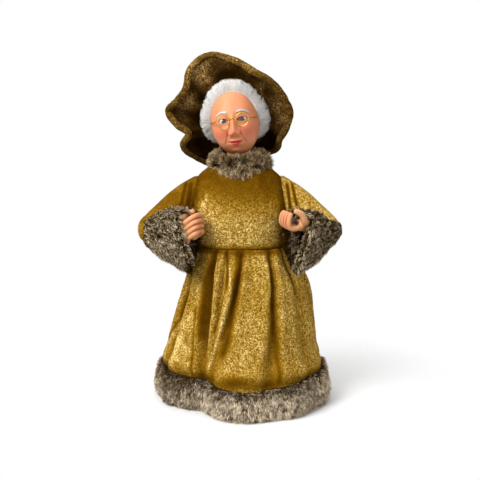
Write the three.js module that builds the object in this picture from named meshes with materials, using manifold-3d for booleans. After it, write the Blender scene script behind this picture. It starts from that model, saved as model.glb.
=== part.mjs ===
// A standing cloth doll: an old lady in a fur-trimmed velvet dress and a floppy brimmed hat.
// Millimetres, +Z up. The doll faces -Y, and the origin is the middle of the base's underside.
import * as THREE from "three";
import { mergeVertices } from "three/addons/utils/BufferGeometryUtils.js";
import Module from "manifold-3d";

const wasm = await Module();
wasm.setup();

// Fits
const GAP = 0.3; // between a piece and its seat
const FUR_GAP = 0.95; // between a fur band and the cloth under it
const TURN_GAP = 0.5; // round a shaft that turns by hand
const CLOTH = 2.2; // velvet with its backing

// Base and inner frame
const PAD_R = 68;
const PAD_THICK = 1.5;
const BOARD_R = 70;
const BOARD_THICK = 9;
const POST_R = 7;
const POST_TOP_Z = 352;
const SCREW_R = 2;
const SCREW_HEAD_R = 4;
const SCREW_LENGTH = 42;
const CONE_WALL = 2;
const CONE_FOOT_R = 67;
const CONE_TOP_R = 30;
const CONE_TOP_Z = 188;
const TUBE_R = 4;
const TUBE_END = 55; // from the middle of the shoulders
const TUBE_WIRE_DEPTH = 26; // how far an arm wire reaches into the tube
const WIRE_R = 1.5;

// Dress
const BODY_X = -4; // the shoulders lean to the doll's right
const WAIST_Z = 207;
const WAIST_HALF_WIDTH = 58;
const WAIST_HALF_DEPTH = 45;
const CHEST_Z = 248;
const CHEST_HALF_WIDTH = 59;
const CHEST_HALF_DEPTH = 48;
const SHOULDER_Z = 298;
const SHOULDER_HALF_WIDTH = 55;
const SHOULDER_HALF_DEPTH = 39;
const NECKBAND_Z = 320;
const NECKBAND_R = 21;
const BODY_SQUARENESS = 2.6; // exponent of the torso's rounded-square sections
const CORE_DROP = 14; // how far the stuffed torso reaches below the waist
const SKIRT_HEM_Z = 4;
const HEM_HALF_WIDTH = 111;
const HEM_HALF_DEPTH = 107;
const SKIRT_BELL = 1.45; // above 1 the skirt swells below the waist
const SKIRT_SWELL = 11; // a fuller hip on the doll's left
const SKIRT_SWELL_AT = 0.26; // its share of the way down
const PUFF = 4; // how far the cloth puffs out over the hem's fur
const PUFF_AT = 0.745; // its share of the way down
const PUFF_HALF = 0.055;
const FOLD_CREASE = 0.6; // depth added at a fold's bottom, as a share of the fold's own
const FOLD_SIDES = 0.45; // how far its sides swell
const TRIM_BOTTOM_Z = 1;
const TRIM_HEIGHT = 42;
const TRIM_THICK = 11;
const COLLAR_BOTTOM_Z = 294;
const COLLAR_TOP_Z = 327;
const COLLAR_R = 41;
const COLLAR_FLARE = 8; // how much wider the collar's opening is at the top

// Skirt folds, chosen by eye: azimuth from +X in degrees at the waist and at the hem,
// depth at the waist and at the hem, half width in degrees
const BROAD_FOLD = [-130, -130, 0, 21, 21];
const FOLDS = [
  [-129, -127, 5, 8, 6],
  [-113, -116, 4, 2, 4.5],
  [-87, -117, 6, 2, 6],
  [-49, -70, 5, 5, 6],
  [-30, -34, 2, 3, 7],
  [-14, 0, 4, 3, 7],
  [18, 18, 3, 4, 7],
  [38, 38, 4, 6, 8],
  [66, 66, 4, 5, 7],
  [96, 96, 4, 7, 8],
  [126, 126, 4, 5, 7],
  [156, 156, 3, 6, 8],
  [-155, -168, 4, 6, 7],
];

// Arms, from the middle of the shoulders, with x outwards
const ARMHOLE_X = 57.5;
const ARMHOLE_Z = 274;
const ARMHOLE_R = 24;
const ARMHOLE_HOLE_R = 20.5;
const ELBOW = new THREE.Vector3(110.5, -32, 232);
const ELBOW_R = 22.5;
const MOUTH_HALF_HEIGHT = 34.5;
const MOUTH_HALF_DEPTH = 19;
const MOUTH_LEAN = 0.28; // how far the mouth's top leans back towards the elbow, for each unit of height
const CUFF_THICK = 7;
const CUFF_START = 0.16; // share of the way from the elbow to the mouth
const CUFF_OVERHANG = 3;
const WRIST_R = 8;
const PAD_FOREARM_R = 12;
const WRIST_BEND = 10; // the padding stops this far short of the wrist
// Each arm: its side, the middle of the sleeve's mouth, the wrist,
// where the hand points, and its turn in degrees
const ARMS = {
  left: {
    side: 1,
    mouth: new THREE.Vector3(85, -53, 221),
    wrist: new THREE.Vector3(88.6, -56.6, 242),
    pointing: new THREE.Vector3(-0.975, -0.2, 0.08).normalize(),
    turn: 90,
  },
  right: {
    side: -1,
    mouth: new THREE.Vector3(72, -48, 221),
    wrist: new THREE.Vector3(79, -49.2, 233),
    pointing: new THREE.Vector3(-0.86, -0.48, 0.17).normalize(),
    turn: 0,
  },
};

// Hands, a half-closed grip
const FINGER_R = 4;
const FINGER_COUNT = 4;
const FINGER_PITCH = 1.7 * FINGER_R; // neighbours run into each other
const GRIP_R = 6;
const GRIP_X = 22.5; // from the wrist to the middle of the grip
const GRIP_Y = 5;
const FINGER_RISE = 5; // a finger climbs this much from the palm to the far side of the grip
const WRIST_BORE_DEPTH = 11;

// Head, in its own frame with the face towards -Y
const HEAD_AT = new THREE.Vector3(-9, -6, 369);
const HEAD_ROLL = -8; // degrees about Y, so the top leans to the doll's right
const HEAD_YAW = -4;
const HEAD_HALF_WIDTH = 31;
const HEAD_HALF_DEPTH = 38;
const HEAD_HALF_HEIGHT = 44;
const NECK_R = 16;
const NECK_BOTTOM_Z = 306;
const EYE_R = 6;
const EYE_X = 12;
const EYE_Z = 2;
const HAIR_THICK = 11;
const HAIRLINE_TOP = 52; // degrees back from the face's middle
const HAIRLINE_NAPE = 140;
const RIM_R = 8.2; // spectacles
const RIM_WIRE_R = 0.7;
const TEMPLE = 50; // where the side arms pass, in degrees back from the face's middle

// Hat, in the head's frame
const CROWN_PUFF = 12;
const CROWN_EDGE_TOP = 84; // degrees back from the face's middle
const CROWN_EDGE_NAPE = 132;
const BRIM_THICK = 4;
const BRIM_ROLL_R = 4.6;
const BRIM_CUP = 3.5; // how far the brim bellies backwards
// The brim's edge as lobes: azimuth from the doll's left in degrees,
// reach from the head's middle, and place fore and aft
const BRIM_LOBES = [
  [2, 71, 2],
  [20, 69, -8],
  [40, 68, -16],
  [62, 67, -14],
  [80, 75, -4],
  [103, 89, 4],
  [122, 87, -4],
  [138, 74, -14],
  [152, 78, -4],
  [164, 88, 8],
  [176, 75, 2],
  [187, 62, -2],
  [197, 77, 14],
  [212, 74, 26],
  [236, 66, 46],
  [268, 56, 56],
  [296, 56, 52],
  [316, 64, 36],
  [330, 62, 14],
  [346, 67, 10],
];

// Counts of facets
const FINEST = 0.08; // cuts are cleaned of facets finer than this
const BODY_SIDES = 24;
const SKIRT_SIDES = 72;
const ARM_SIDES = 14;
const HEAD_SIDES = 24;
const BRIM_SIDES = 50;

const X = new THREE.Vector3(1, 0, 0);
const Y = new THREE.Vector3(0, 1, 0);
const Z = new THREE.Vector3(0, 0, 1);
const rad = THREE.MathUtils.degToRad;
const lerp = THREE.MathUtils.lerp;
const bump = (d, width) => Math.exp(-((d / width) ** 2));

// Solids

function toSolid(geometry) {
  const bare = new THREE.BufferGeometry().setAttribute("position", geometry.getAttribute("position").clone());
  if (geometry.index) bare.setIndex(geometry.index.clone());
  const merged = mergeVertices(bare, 1e-4);
  const index = merged.index.array;
  const triangles = [];
  for (let i = 0; i < index.length; i += 3) {
    const [a, b, c] = index.slice(i, i + 3);
    if (a !== b && b !== c && c !== a) triangles.push(a, b, c);
  }
  return new wasm.Manifold(
    new wasm.Mesh({
      numProp: 3,
      vertProperties: merged.attributes.position.array,
      triVerts: new Uint32Array(triangles),
    }),
  );
}

function toGeometry(solid) {
  const mesh = solid.simplify(FINEST).getMesh();
  return new THREE.BufferGeometry()
    .setAttribute("position", new THREE.BufferAttribute(new Float32Array(mesh.vertProperties), 3))
    .setIndex(new THREE.BufferAttribute(new Uint32Array(mesh.triVerts), 1));
}

// A closed skin over rings of points. It joins the last ring to the first, or closes each end with a fan.
function skin(rings, { loop = false } = {}) {
  const sides = rings[0].length;
  const points = rings.flat();
  const index = [];
  const joins = loop ? rings.length : rings.length - 1;
  for (let r = 0; r < joins; r++) {
    const here = r * sides;
    const next = ((r + 1) % rings.length) * sides;
    for (let i = 0; i < sides; i++) {
      const j = (i + 1) % sides;
      index.push(here + i, here + j, next + j, here + i, next + j, next + i);
    }
  }
  if (!loop) {
    for (const [start, flip] of [
      [0, true],
      [(rings.length - 1) * sides, false],
    ]) {
      const middle = points.length;
      const ring = points.slice(start, start + sides);
      points.push(ring.reduce((sum, p) => sum.add(p), new THREE.Vector3()).divideScalar(sides));
      for (let i = 0; i < sides; i++) {
        const j = (i + 1) % sides;
        index.push(...(flip ? [start + j, start + i, middle] : [start + i, start + j, middle]));
      }
    }
  }
  let volume = 0;
  for (let i = 0; i < index.length; i += 3) {
    const [a, b, c] = [points[index[i]], points[index[i + 1]], points[index[i + 2]]];
    volume += a.dot(b.clone().cross(c));
  }
  if (volume < 0) index.reverse();
  return new THREE.BufferGeometry().setFromPoints(points).setIndex(index);
}

// A flat ring of points: half sizes along two directions about a middle.
function ellipse(middle, along, up, halfAlong, halfUp, sides) {
  return Array.from({ length: sides }, (_, i) => {
    const a = (i / sides) * 2 * Math.PI;
    return middle
      .clone()
      .addScaledVector(along, halfAlong * Math.cos(a))
      .addScaledVector(up, halfUp * Math.sin(a));
  });
}

function cylinder(radius, from, to, sides = 24) {
  const axis = to.clone().sub(from);
  const turn = new THREE.Quaternion().setFromUnitVectors(Y, axis.clone().normalize());
  const middle = from.clone().add(to).multiplyScalar(0.5);
  return new THREE.CylinderGeometry(radius, radius, axis.length(), sides)
    .applyQuaternion(turn)
    .translate(middle.x, middle.y, middle.z);
}

// A revolved piece: profile points are [radius, height], turned about the vertical through x.
function revolve(profile, x, sides = 32) {
  const points = profile.map(([r, z]) => new THREE.Vector2(r, z));
  return new THREE.LatheGeometry(points, sides).rotateX(Math.PI / 2).translate(x, 0, 0);
}

function tube(points, radius, sides, steps) {
  const section = new THREE.Shape().absarc(0, 0, radius, 0, 2 * Math.PI);
  return new THREE.ExtrudeGeometry(section, {
    extrudePath: new THREE.CatmullRomCurve3(points),
    curveSegments: sides / 2, // an arc gets two points for each
    steps,
  });
}

// Materials

function finish(color, roughness, metalness = 0) {
  return new THREE.MeshStandardMaterial({ color, roughness, metalness });
}
const felt = finish(0x3a3128, 1);
const board = finish(0xa98a5f, 0.85);
const wood = finish(0xc9a877, 0.7);
const card = finish(0x9d8a6c, 0.9);
const steel = finish(0x9a9a98, 0.35, 1);
const nylon = finish(0xe4e0d4, 0.5);
const wadding = finish(0xe9e2d2, 1);
const goldVelvet = finish(0xa8801c, 0.75);
const hatVelvet = finish(0x6b5220, 0.85);
const fur = finish(0x7d715c, 1);
const paintedResin = finish(0xe0a079, 0.5);
const glassEye = finish(0x2b2430, 0.1);
const mohair = finish(0xe9e6e2, 0.9);
const giltWire = finish(0xc9a24a, 0.25, 1);

const doll = new THREE.Group();
function add(name, shape, material) {
  const mesh = new THREE.Mesh(shape.isBufferGeometry ? shape : toGeometry(shape), material);
  mesh.name = name;
  doll.add(mesh);
}

// Base and inner frame

const boardBottom = PAD_THICK + GAP;
const boardTop = boardBottom + BOARD_THICK;
const postBottom = boardTop + GAP;
const onSpine = (z) => new THREE.Vector3(BODY_X, 0, z);
const postFoot = onSpine(postBottom);
const postTop = onSpine(POST_TOP_Z);
const across = (x) => onSpine(ARMHOLE_Z).addScaledVector(X, x);

// The countersunk screw, and with a clearance the hole that it needs.
function screw(clearance) {
  const headDepth = SCREW_HEAD_R - SCREW_R;
  const bottom = boardBottom + GAP - clearance;
  return revolve(
    [
      [0, bottom],
      [SCREW_HEAD_R + clearance, bottom],
      [SCREW_R + clearance, bottom + headDepth + clearance],
      [SCREW_R + clearance, boardBottom + SCREW_LENGTH + clearance],
      [0, boardBottom + SCREW_LENGTH + clearance],
    ],
    BODY_X,
    16,
  );
}

function baseAndFrame() {
  const screwHole = toSolid(screw(GAP));
  const crossHole = toSolid(cylinder(TUBE_R + GAP, across(-TUBE_END), across(TUBE_END), 16));
  const disc = (r, low, high) => cylinder(r, new THREE.Vector3(0, 0, low), new THREE.Vector3(0, 0, high), 48);
  add("base_pad", disc(PAD_R, 0, PAD_THICK), felt);
  add("base_board", toSolid(disc(BOARD_R, boardBottom, boardTop)).subtract(screwHole), board);
  add("base_screw", screw(0), steel);
  const post = toSolid(cylinder(POST_R, postFoot, postTop));
  add("spine_post", post.subtract(screwHole).subtract(crossHole), wood);
  add(
    "skirt_cone",
    revolve(
      [
        [CONE_FOOT_R, postBottom],
        [CONE_FOOT_R, postBottom + CONE_WALL],
        [CONE_TOP_R, CONE_TOP_Z],
        [CONE_TOP_R - CONE_WALL, CONE_TOP_Z],
        [CONE_FOOT_R - 2 * CONE_WALL, postBottom],
        [CONE_FOOT_R, postBottom],
      ],
      0,
      36,
    ),
    card,
  );
  const bore = WIRE_R + TURN_GAP;
  add(
    "shoulder_tube",
    toSolid(cylinder(TUBE_R, across(-TUBE_END), across(TUBE_END), 12)).subtract(
      toSolid(cylinder(bore, across(-TUBE_END - 1), across(TUBE_END + 1), 10)),
    ),
    nylon,
  );
}

// Torso

// Half width, half depth and height of the torso from the waist to the neckband, as one curve.
const torsoCurve = new THREE.CatmullRomCurve3(
  [
    [WAIST_HALF_WIDTH, WAIST_HALF_DEPTH, WAIST_Z],
    [CHEST_HALF_WIDTH, CHEST_HALF_DEPTH, CHEST_Z],
    [SHOULDER_HALF_WIDTH, SHOULDER_HALF_DEPTH, SHOULDER_Z],
    [
      lerp(NECKBAND_R, SHOULDER_HALF_WIDTH, 0.5),
      lerp(NECKBAND_R, SHOULDER_HALF_DEPTH, 0.6),
      lerp(SHOULDER_Z, NECKBAND_Z, 0.62),
    ],
    [NECKBAND_R, NECKBAND_R, NECKBAND_Z],
  ].map((p) => new THREE.Vector3(...p)),
);
const TORSO_ROWS = 8;

// One level section of the torso, as a rounded square that becomes round at the neckband.
function torsoRing(halfWidth, halfDepth, z) {
  const rise = THREE.MathUtils.clamp((z - WAIST_Z) / (ARMHOLE_Z - WAIST_Z), 0, 1);
  const round = THREE.MathUtils.smoothstep(z, SHOULDER_Z, NECKBAND_Z);
  const power = 2 / lerp(BODY_SQUARENESS, 2, round);
  return Array.from({ length: BODY_SIDES }, (_, i) => {
    const a = (i / BODY_SIDES) * 2 * Math.PI;
    const c = Math.cos(a);
    const s = Math.sin(a);
    return new THREE.Vector3(
      BODY_X * rise + halfWidth * Math.sign(c) * Math.abs(c) ** power,
      halfDepth * Math.sign(s) * Math.abs(s) ** power,
      z,
    );
  });
}

// The torso's skin taken in by an inset, with its ends moved out by an overrun.
function torso(inset, overrun = 0) {
  const rows = torsoCurve.getPoints(TORSO_ROWS);
  const rings = rows.map((p) => torsoRing(p.x - inset, p.y - inset, p.z));
  if (overrun) {
    const lift = (ring, by) => ring.map((p) => p.clone().addScaledVector(Z, by));
    rings.unshift(lift(rings[0], -overrun));
    rings.push(lift(rings[rings.length - 1], overrun));
  }
  return toSolid(skin(rings));
}

const box = (low, high) => {
  const size = high.clone().sub(low);
  const middle = low.clone().add(high).multiplyScalar(0.5);
  return toSolid(new THREE.BoxGeometry(size.x, size.y, size.z).translate(middle.x, middle.y, middle.z));
};
const FAR = 400;
const beyondArmhole = (side, x) => {
  const [near, far] = [across(side * x).x, across(side * FAR).x].sort((a, b) => a - b);
  return box(new THREE.Vector3(near, -FAR, 0), new THREE.Vector3(far, FAR, FAR));
};

function torsoAndBodice() {
  const coreTop = NECK_BOTTOM_Z - GAP;
  const below = (z) => box(new THREE.Vector3(-FAR, -FAR, -FAR), new THREE.Vector3(FAR, FAR, z));
  let core = torso(CLOTH + GAP, CORE_DROP).intersect(below(coreTop));
  core = core.subtract(toSolid(cylinder(POST_R + GAP, postFoot, postTop)));
  core = core.subtract(toSolid(cylinder(TUBE_R + GAP, across(-FAR), across(FAR), 16)));
  let bodice = torso(0).subtract(torso(CLOTH, 1));
  for (const side of [-1, 1]) {
    core = core.subtract(beyondArmhole(side, TUBE_END));
    bodice = bodice.subtract(beyondArmhole(side, ARMHOLE_X));
    const hole = cylinder(ARMHOLE_HOLE_R, across(side * (ARMHOLE_X - 3 * CLOTH)), across(side * FAR));
    bodice = bodice.subtract(toSolid(hole));
  }
  add("torso_core", core, wadding);
  add("bodice", bodice, goldVelvet);
  add("collar", collar(), fur);
}

// The fur collar is a plump ring, hollowed underneath to sit on the shoulders.
function collar() {
  const inner = NECKBAND_R + GAP;
  const middle = (COLLAR_BOTTOM_Z + COLLAR_TOP_Z) / 2;
  const halfHeight = (COLLAR_TOP_Z - COLLAR_BOTTOM_Z) / 2;
  const thick = COLLAR_R - inner;
  const steps = 6;
  const profile = Array.from({ length: steps + 1 }, (_, i) => {
    const a = rad(lerp(-90, 90, i / steps));
    const flat = lerp(0.35, 0.55, i / steps); // share of the thickness that the faces keep level
    return [inner + thick * lerp(flat, 1, Math.cos(a)), middle + halfHeight * Math.sin(a)];
  });
  const foot = [inner, COLLAR_BOTTOM_Z];
  const ring = [foot, ...profile, [inner + COLLAR_FLARE, COLLAR_TOP_Z], foot];
  return toSolid(revolve(ring, BODY_X, BODY_SIDES)).subtract(torso(-GAP, 0));
}

// Skirt

const skirtHeight = WAIST_Z - GAP - SKIRT_HEM_Z;
const trimTop = (WAIST_Z - GAP - TRIM_BOTTOM_Z - TRIM_HEIGHT) / skirtHeight; // the way down to the trim's top

// How far the skirt sinks into one fold. A creased fold has a sharper bottom and swelling sides.
function foldDepth([waistAt, hemAt, waistDepth, hemDepth, width], azimuth, down, crease) {
  const middle = lerp(waistAt, hemAt, Math.min(1, down / trimTop));
  const away = THREE.MathUtils.euclideanModulo(azimuth - middle + 180, 360) - 180;
  const wide = width * (0.6 + 0.6 * down);
  const sharp = FOLD_CREASE * bump(away, 0.55 * wide);
  const sides = FOLD_SIDES * (bump(away - 1.5 * wide, 0.8 * wide) + bump(away + 1.5 * wide, 0.8 * wide));
  const depth = lerp(waistDepth, hemDepth, down) * Math.min(1, 5 * down);
  return depth * (bump(away, wide) + crease * (sharp - sides));
}

// A point on the skirt: azimuth from +X in degrees, and the way down from waist 0 to hem 1.
function skirtPoint(azimuth, down, inset) {
  const a = rad(azimuth);
  const spread = 1 - (1 - down) ** SKIRT_BELL;
  const halfWidth = lerp(WAIST_HALF_WIDTH, HEM_HALF_WIDTH, spread) - inset;
  const halfDepth = lerp(WAIST_HALF_DEPTH, HEM_HALF_DEPTH, spread) - inset;
  const squareness = lerp(BODY_SQUARENESS, 2, Math.min(1, 3 * down));
  const reach =
    (Math.abs(Math.cos(a) / halfWidth) ** squareness + Math.abs(Math.sin(a) / halfDepth) ** squareness) **
    (-1 / squareness);
  const crease = 1 - 0.75 * THREE.MathUtils.smoothstep(down, 0.55, trimTop);
  let fold = foldDepth(BROAD_FOLD, azimuth, down, 0);
  for (const each of FOLDS) fold += foldDepth(each, azimuth, down, crease);
  const hip = Math.max(0, Math.cos(a)) ** 2 * bump(down - SKIRT_SWELL_AT, SKIRT_SWELL_AT);
  const swell = SKIRT_SWELL * hip * Math.min(1, 5 * down) + PUFF * bump(down - PUFF_AT, PUFF_HALF);
  const r = reach - fold + swell;
  return new THREE.Vector3(r * Math.cos(a), r * Math.sin(a), lerp(WAIST_Z - GAP, SKIRT_HEM_Z, down));
}

const SKIRT_ROWS = [0, 0.05, 0.15, 0.3, 0.5, PUFF_AT, trimTop, 1];
const azimuths = Array.from({ length: SKIRT_SIDES }, (_, i) => (i / SKIRT_SIDES) * 360);

function skirt() {
  const wall = (inset) => SKIRT_ROWS.map((down) => azimuths.map((a) => skirtPoint(a, down, inset)));
  const rings = [...wall(0), ...wall(CLOTH).reverse()];
  add("skirt", skin(rings, { loop: true }), goldVelvet);
}

// The fur band round the hem follows the skirt's folds, and rounds out from the cloth.
function hemTrim() {
  const wall = (z, bulge) =>
    azimuths.map((a) => {
      const rise = (z - SKIRT_HEM_Z) / (TRIM_BOTTOM_Z + TRIM_HEIGHT - SKIRT_HEM_Z);
      const share = THREE.MathUtils.clamp(rise, 0, 1);
      const p = skirtPoint(a, 1, 0).lerp(skirtPoint(a, trimTop, 0), share);
      const out = new THREE.Vector3(p.x, p.y, 0).normalize();
      return p.addScaledVector(out, lerp(FUR_GAP, TRIM_THICK, bulge)).setZ(z);
    });
  const up = (share) => TRIM_BOTTOM_Z + TRIM_HEIGHT * share;
  const rings = [
    wall(up(1), 0),
    wall(up(0.9), 0.75),
    wall(up(0.55), 1),
    wall(up(0.18), 0.95),
    wall(up(0), 0.6),
    wall(up(0), 0),
  ];
  add("hem_trim", skin(rings, { loop: true }), fur);
}

// Arms

// A point given from the middle of the shoulders with x outwards, put in the doll's frame.
const onSide = (side, p) => new THREE.Vector3(BODY_X + side * p.x, p.y, p.z);
const forearm = ({ mouth }) => mouth.clone().sub(ELBOW).setZ(0).normalize();
// The way a section of the bell sleeve faces: along the forearm at the elbow, at the body at the mouth.
const facing = (arm, t) => forearm(arm).lerp(X.clone().negate(), Math.max(0, t)).normalize();
const levelAcross = (way) => new THREE.Vector3().crossVectors(Z, way);

// Two directions square to a run, the first of them level.
function squareTo(run) {
  const along = new THREE.Vector3().crossVectors(Z, run).normalize();
  return [along, new THREE.Vector3().crossVectors(run, along).normalize()];
}

// The stuffed upper sleeve from the armhole to a ball at the elbow.
function upperSleeve({ side }, inset, overrun = 0) {
  const start = new THREE.Vector3(ARMHOLE_X + GAP, 0, ARMHOLE_Z);
  const run = ELBOW.clone().sub(start).normalize();
  const rows = 5;
  const rings = [];
  for (let i = 0; i <= rows; i++) {
    const t = i / rows;
    const [along, up] = squareTo(X.clone().lerp(run, Math.min(1, 2 * t)));
    const r = lerp(ARMHOLE_R, ELBOW_R, t) + 1.5 * Math.sin(Math.PI * t) - inset;
    rings.push(ellipse(start.clone().lerp(ELBOW, t), along, up, r, r, ARM_SIDES));
  }
  if (overrun) rings.unshift(rings[0].map((p) => p.clone().addScaledVector(X, -overrun)));
  for (const turn of [30, 60, 82]) {
    const r = (ELBOW_R - inset) * Math.cos(rad(turn));
    const middle = ELBOW.clone().addScaledVector(run, (ELBOW_R - inset) * Math.sin(rad(turn)));
    rings.push(ellipse(middle, ...squareTo(run), r, r, ARM_SIDES));
  }
  return toSolid(skin(rings.map((ring) => ring.map((p) => onSide(side, p)))));
}

// One upright section of the bell sleeve, from the elbow at 0 to the mouth at 1.
function bellRing(arm, t, grow) {
  const middle = ELBOW.clone().lerp(arm.mouth, t);
  const halfHeight = lerp(ELBOW_R - 2, MOUTH_HALF_HEIGHT, t) + grow;
  const halfDepth = lerp(ELBOW_R - 3, MOUTH_HALF_DEPTH, t) + grow;
  const way = facing(arm, t);
  const up = Z.clone().addScaledVector(way, -MOUTH_LEAN * t);
  const ring = ellipse(middle, levelAcross(way), up, halfDepth, halfHeight, ARM_SIDES);
  return ring.map((p) => onSide(arm.side, p));
}

const BELL_ROWS = [0, CUFF_START, 0.33, 0.5, 0.67, 0.84, 1]; // shares of the way from the elbow to the mouth

function bellSleeve(arm, grow, overrun = 0) {
  const rings = [];
  for (const turn of [-80, -50, -25]) {
    const middle = ELBOW.clone().addScaledVector(forearm(arm), (ELBOW_R - 3 + grow) * Math.sin(rad(turn)));
    const halfDepth = (ELBOW_R - 3 + grow) * Math.cos(rad(turn));
    const halfHeight = (ELBOW_R - 2 + grow) * Math.cos(rad(turn));
    const ring = ellipse(middle, levelAcross(forearm(arm)), Z, halfDepth, halfHeight, ARM_SIDES);
    rings.push(ring.map((p) => onSide(arm.side, p)));
  }
  for (const t of BELL_ROWS) rings.push(bellRing(arm, t, grow));
  if (overrun) rings.push(bellRing(arm, 1 + overrun, grow));
  return toSolid(skin(rings));
}

// The fur cuff: a thick ring over the bell sleeve, tucked under the upper sleeve.
function cuff(arm) {
  const last = 1 + CUFF_OVERHANG / arm.mouth.distanceTo(ELBOW);
  const outer = [
    [0, 0],
    [0.02, 0.6],
    [0.15, 1],
    [0.6, 1],
    [0.92, 0.95],
    [1, 0.5],
    [1, 0],
  ].map(([share, bulge]) => bellRing(arm, lerp(CUFF_START, last, share), lerp(FUR_GAP, CUFF_THICK, bulge)));
  const lining = BELL_ROWS.slice(2).map((t) => bellRing(arm, t, FUR_GAP));
  const ring = skin([...outer, ...lining.reverse()], { loop: true });
  return toSolid(ring).subtract(upperSleeve(arm, -GAP));
}

// The bendable wire from the shoulder tube through the sleeve into the hand.
function wire({ side, wrist, pointing }, radius) {
  const inTube = new THREE.Vector3(TUBE_END - TUBE_WIRE_DEPTH, 0, ARMHOLE_Z);
  const tubeMouth = new THREE.Vector3(TUBE_END + 2, 0, ARMHOLE_Z);
  const start = new THREE.Vector3(ARMHOLE_X + 6, 0, ARMHOLE_Z);
  const path = [
    inTube,
    inTube.clone().lerp(tubeMouth, 0.5),
    inTube.clone().lerp(tubeMouth, 0.85),
    tubeMouth,
    start.clone().lerp(ELBOW, 0.15),
    start.clone().lerp(ELBOW, 0.45),
    start.clone().lerp(ELBOW, 0.76),
    ELBOW.clone().addScaledVector(X, 0.1 * ELBOW_R),
    ELBOW.clone().lerp(wrist, 0.32),
    ELBOW.clone().lerp(wrist, 0.6),
    wrist.clone().addScaledVector(pointing, -3),
    wrist.clone().addScaledVector(pointing, 0.4 * WRIST_BORE_DEPTH),
    wrist.clone().addScaledVector(pointing, WRIST_BORE_DEPTH - 1),
  ].map((p) => onSide(side, p));
  return tube(path, radius, 6, 36);
}

// The stuffed arm: it fills the upper sleeve and tapers along the forearm to the wrist.
function armPad(arm) {
  const run = arm.wrist.clone().sub(ELBOW).normalize();
  const end = arm.wrist.clone().addScaledVector(run, -WRIST_BEND);
  const rings = [0, 0.5, 1].map((t) => {
    const r = lerp(PAD_FOREARM_R, WRIST_R, t);
    return ellipse(ELBOW.clone().lerp(end, t), ...squareTo(run), r, r, 12).map((p) => onSide(arm.side, p));
  });
  const stuffed = upperSleeve(arm, CLOTH + GAP).add(toSolid(skin(rings)));
  return stuffed.subtract(toSolid(wire(arm, WIRE_R + TURN_GAP)));
}

// Hand

// The grip hand in its own frame: wrist at the origin, +X out of the wrist, thumb side up, palm towards +Y.
function gripHand() {
  const point = (x, y, z) => new THREE.Vector3(x, y, z);
  const topFinger = ((FINGER_COUNT - 1) / 2) * FINGER_PITCH;
  const palmEnd = GRIP_X - GRIP_R;
  const backY = GRIP_Y - GRIP_R - FINGER_R;
  const palm = skin(
    [
      [0, WRIST_R, WRIST_R],
      [0.3 * palmEnd, WRIST_R, WRIST_R + 1],
      [0.75 * palmEnd, FINGER_R + 3, topFinger + FINGER_R],
      [palmEnd, FINGER_R + 2, topFinger + FINGER_R],
      [palmEnd + FINGER_R, FINGER_R - 1, topFinger + FINGER_R - 1],
    ].map(([x, halfDepth, halfHeight], i) =>
      ellipse(point(x, i < 2 ? 0 : 0.35 * backY, 0), Y, Z, halfDepth, halfHeight, 12),
    ),
  );
  let hand = toSolid(palm);
  const curlR = GRIP_R + FINGER_R;
  for (let f = 0; f < FINGER_COUNT; f++) {
    const z = topFinger - f * FINGER_PITCH;
    const short = 1 - 0.06 * Math.abs(f - 1);
    const curl = [-150, -95, -45, 5, 55, 105, 150].map((turn) => {
      const forward = Math.cos(rad(turn));
      const rise = (FINGER_RISE / 2) * forward;
      return point(GRIP_X + short * curlR * forward, GRIP_Y + curlR * Math.sin(rad(turn)), z + rise);
    });
    curl.unshift(point(0.55 * palmEnd, 0.4 * backY, 0.75 * z));
    hand = hand.add(toSolid(tube(curl, FINGER_R, 6, 8)));
  }
  const thumb = [
    point(0.2 * palmEnd, 1, 0.55 * topFinger),
    point(0.55 * palmEnd, GRIP_Y, topFinger + 4),
    point(0.95 * palmEnd, GRIP_Y + curlR - 1, topFinger + 7.5),
    point(GRIP_X + 2, GRIP_Y + curlR + 1.5, topFinger + 8),
    point(GRIP_X + 6.5, GRIP_Y + curlR - 1, topFinger + 6),
  ];
  hand = hand.add(toSolid(tube(thumb, FINGER_R + 0.3, 6, 7)));
  const bore = cylinder(WIRE_R + TURN_GAP, point(-1, 0, 0), point(WRIST_BORE_DEPTH, 0, 0), 8);
  const grip = cylinder(
    GRIP_R - 0.6,
    point(GRIP_X, GRIP_Y, -2 * topFinger - FINGER_R),
    point(GRIP_X, GRIP_Y, 2 * topFinger + FINGER_R),
    12,
  );
  return toGeometry(hand.subtract(toSolid(bore)).subtract(toSolid(grip)));
}

// The right hand's mould is turned about the wrist and set on it, and mirrored for the left.
function placedHand({ side, wrist, pointing, turn }) {
  const hand = gripHand();
  const [awayFromBody, up] = squareTo(pointing);
  const frame = new THREE.Matrix4().makeBasis(pointing, awayFromBody.negate(), up).setPosition(wrist);
  hand.rotateX(rad(turn)).applyMatrix4(frame);
  const position = hand.getAttribute("position");
  for (let i = 0; i < position.count; i++) {
    const p = onSide(side, new THREE.Vector3().fromBufferAttribute(position, i));
    position.setXYZ(i, p.x, p.y, p.z);
  }
  if (side > 0) hand.setIndex([...hand.index.array].reverse());
  return hand;
}

function dressedArm(name) {
  const arm = ARMS[name];
  const outer = upperSleeve(arm, 0).add(bellSleeve(arm, 0));
  const inner = upperSleeve(arm, CLOTH, 4).add(bellSleeve(arm, -CLOTH, 0.2));
  add(`${name}_sleeve`, outer.subtract(inner), goldVelvet);
  add(`${name}_cuff`, cuff(arm), fur);
  add(`${name}_arm_pad`, armPad(arm), wadding);
  add(`${name}_arm_wire`, wire(arm, WIRE_R), steel);
  add(`${name}_hand`, placedHand(arm), paintedResin);
}

// Head

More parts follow.
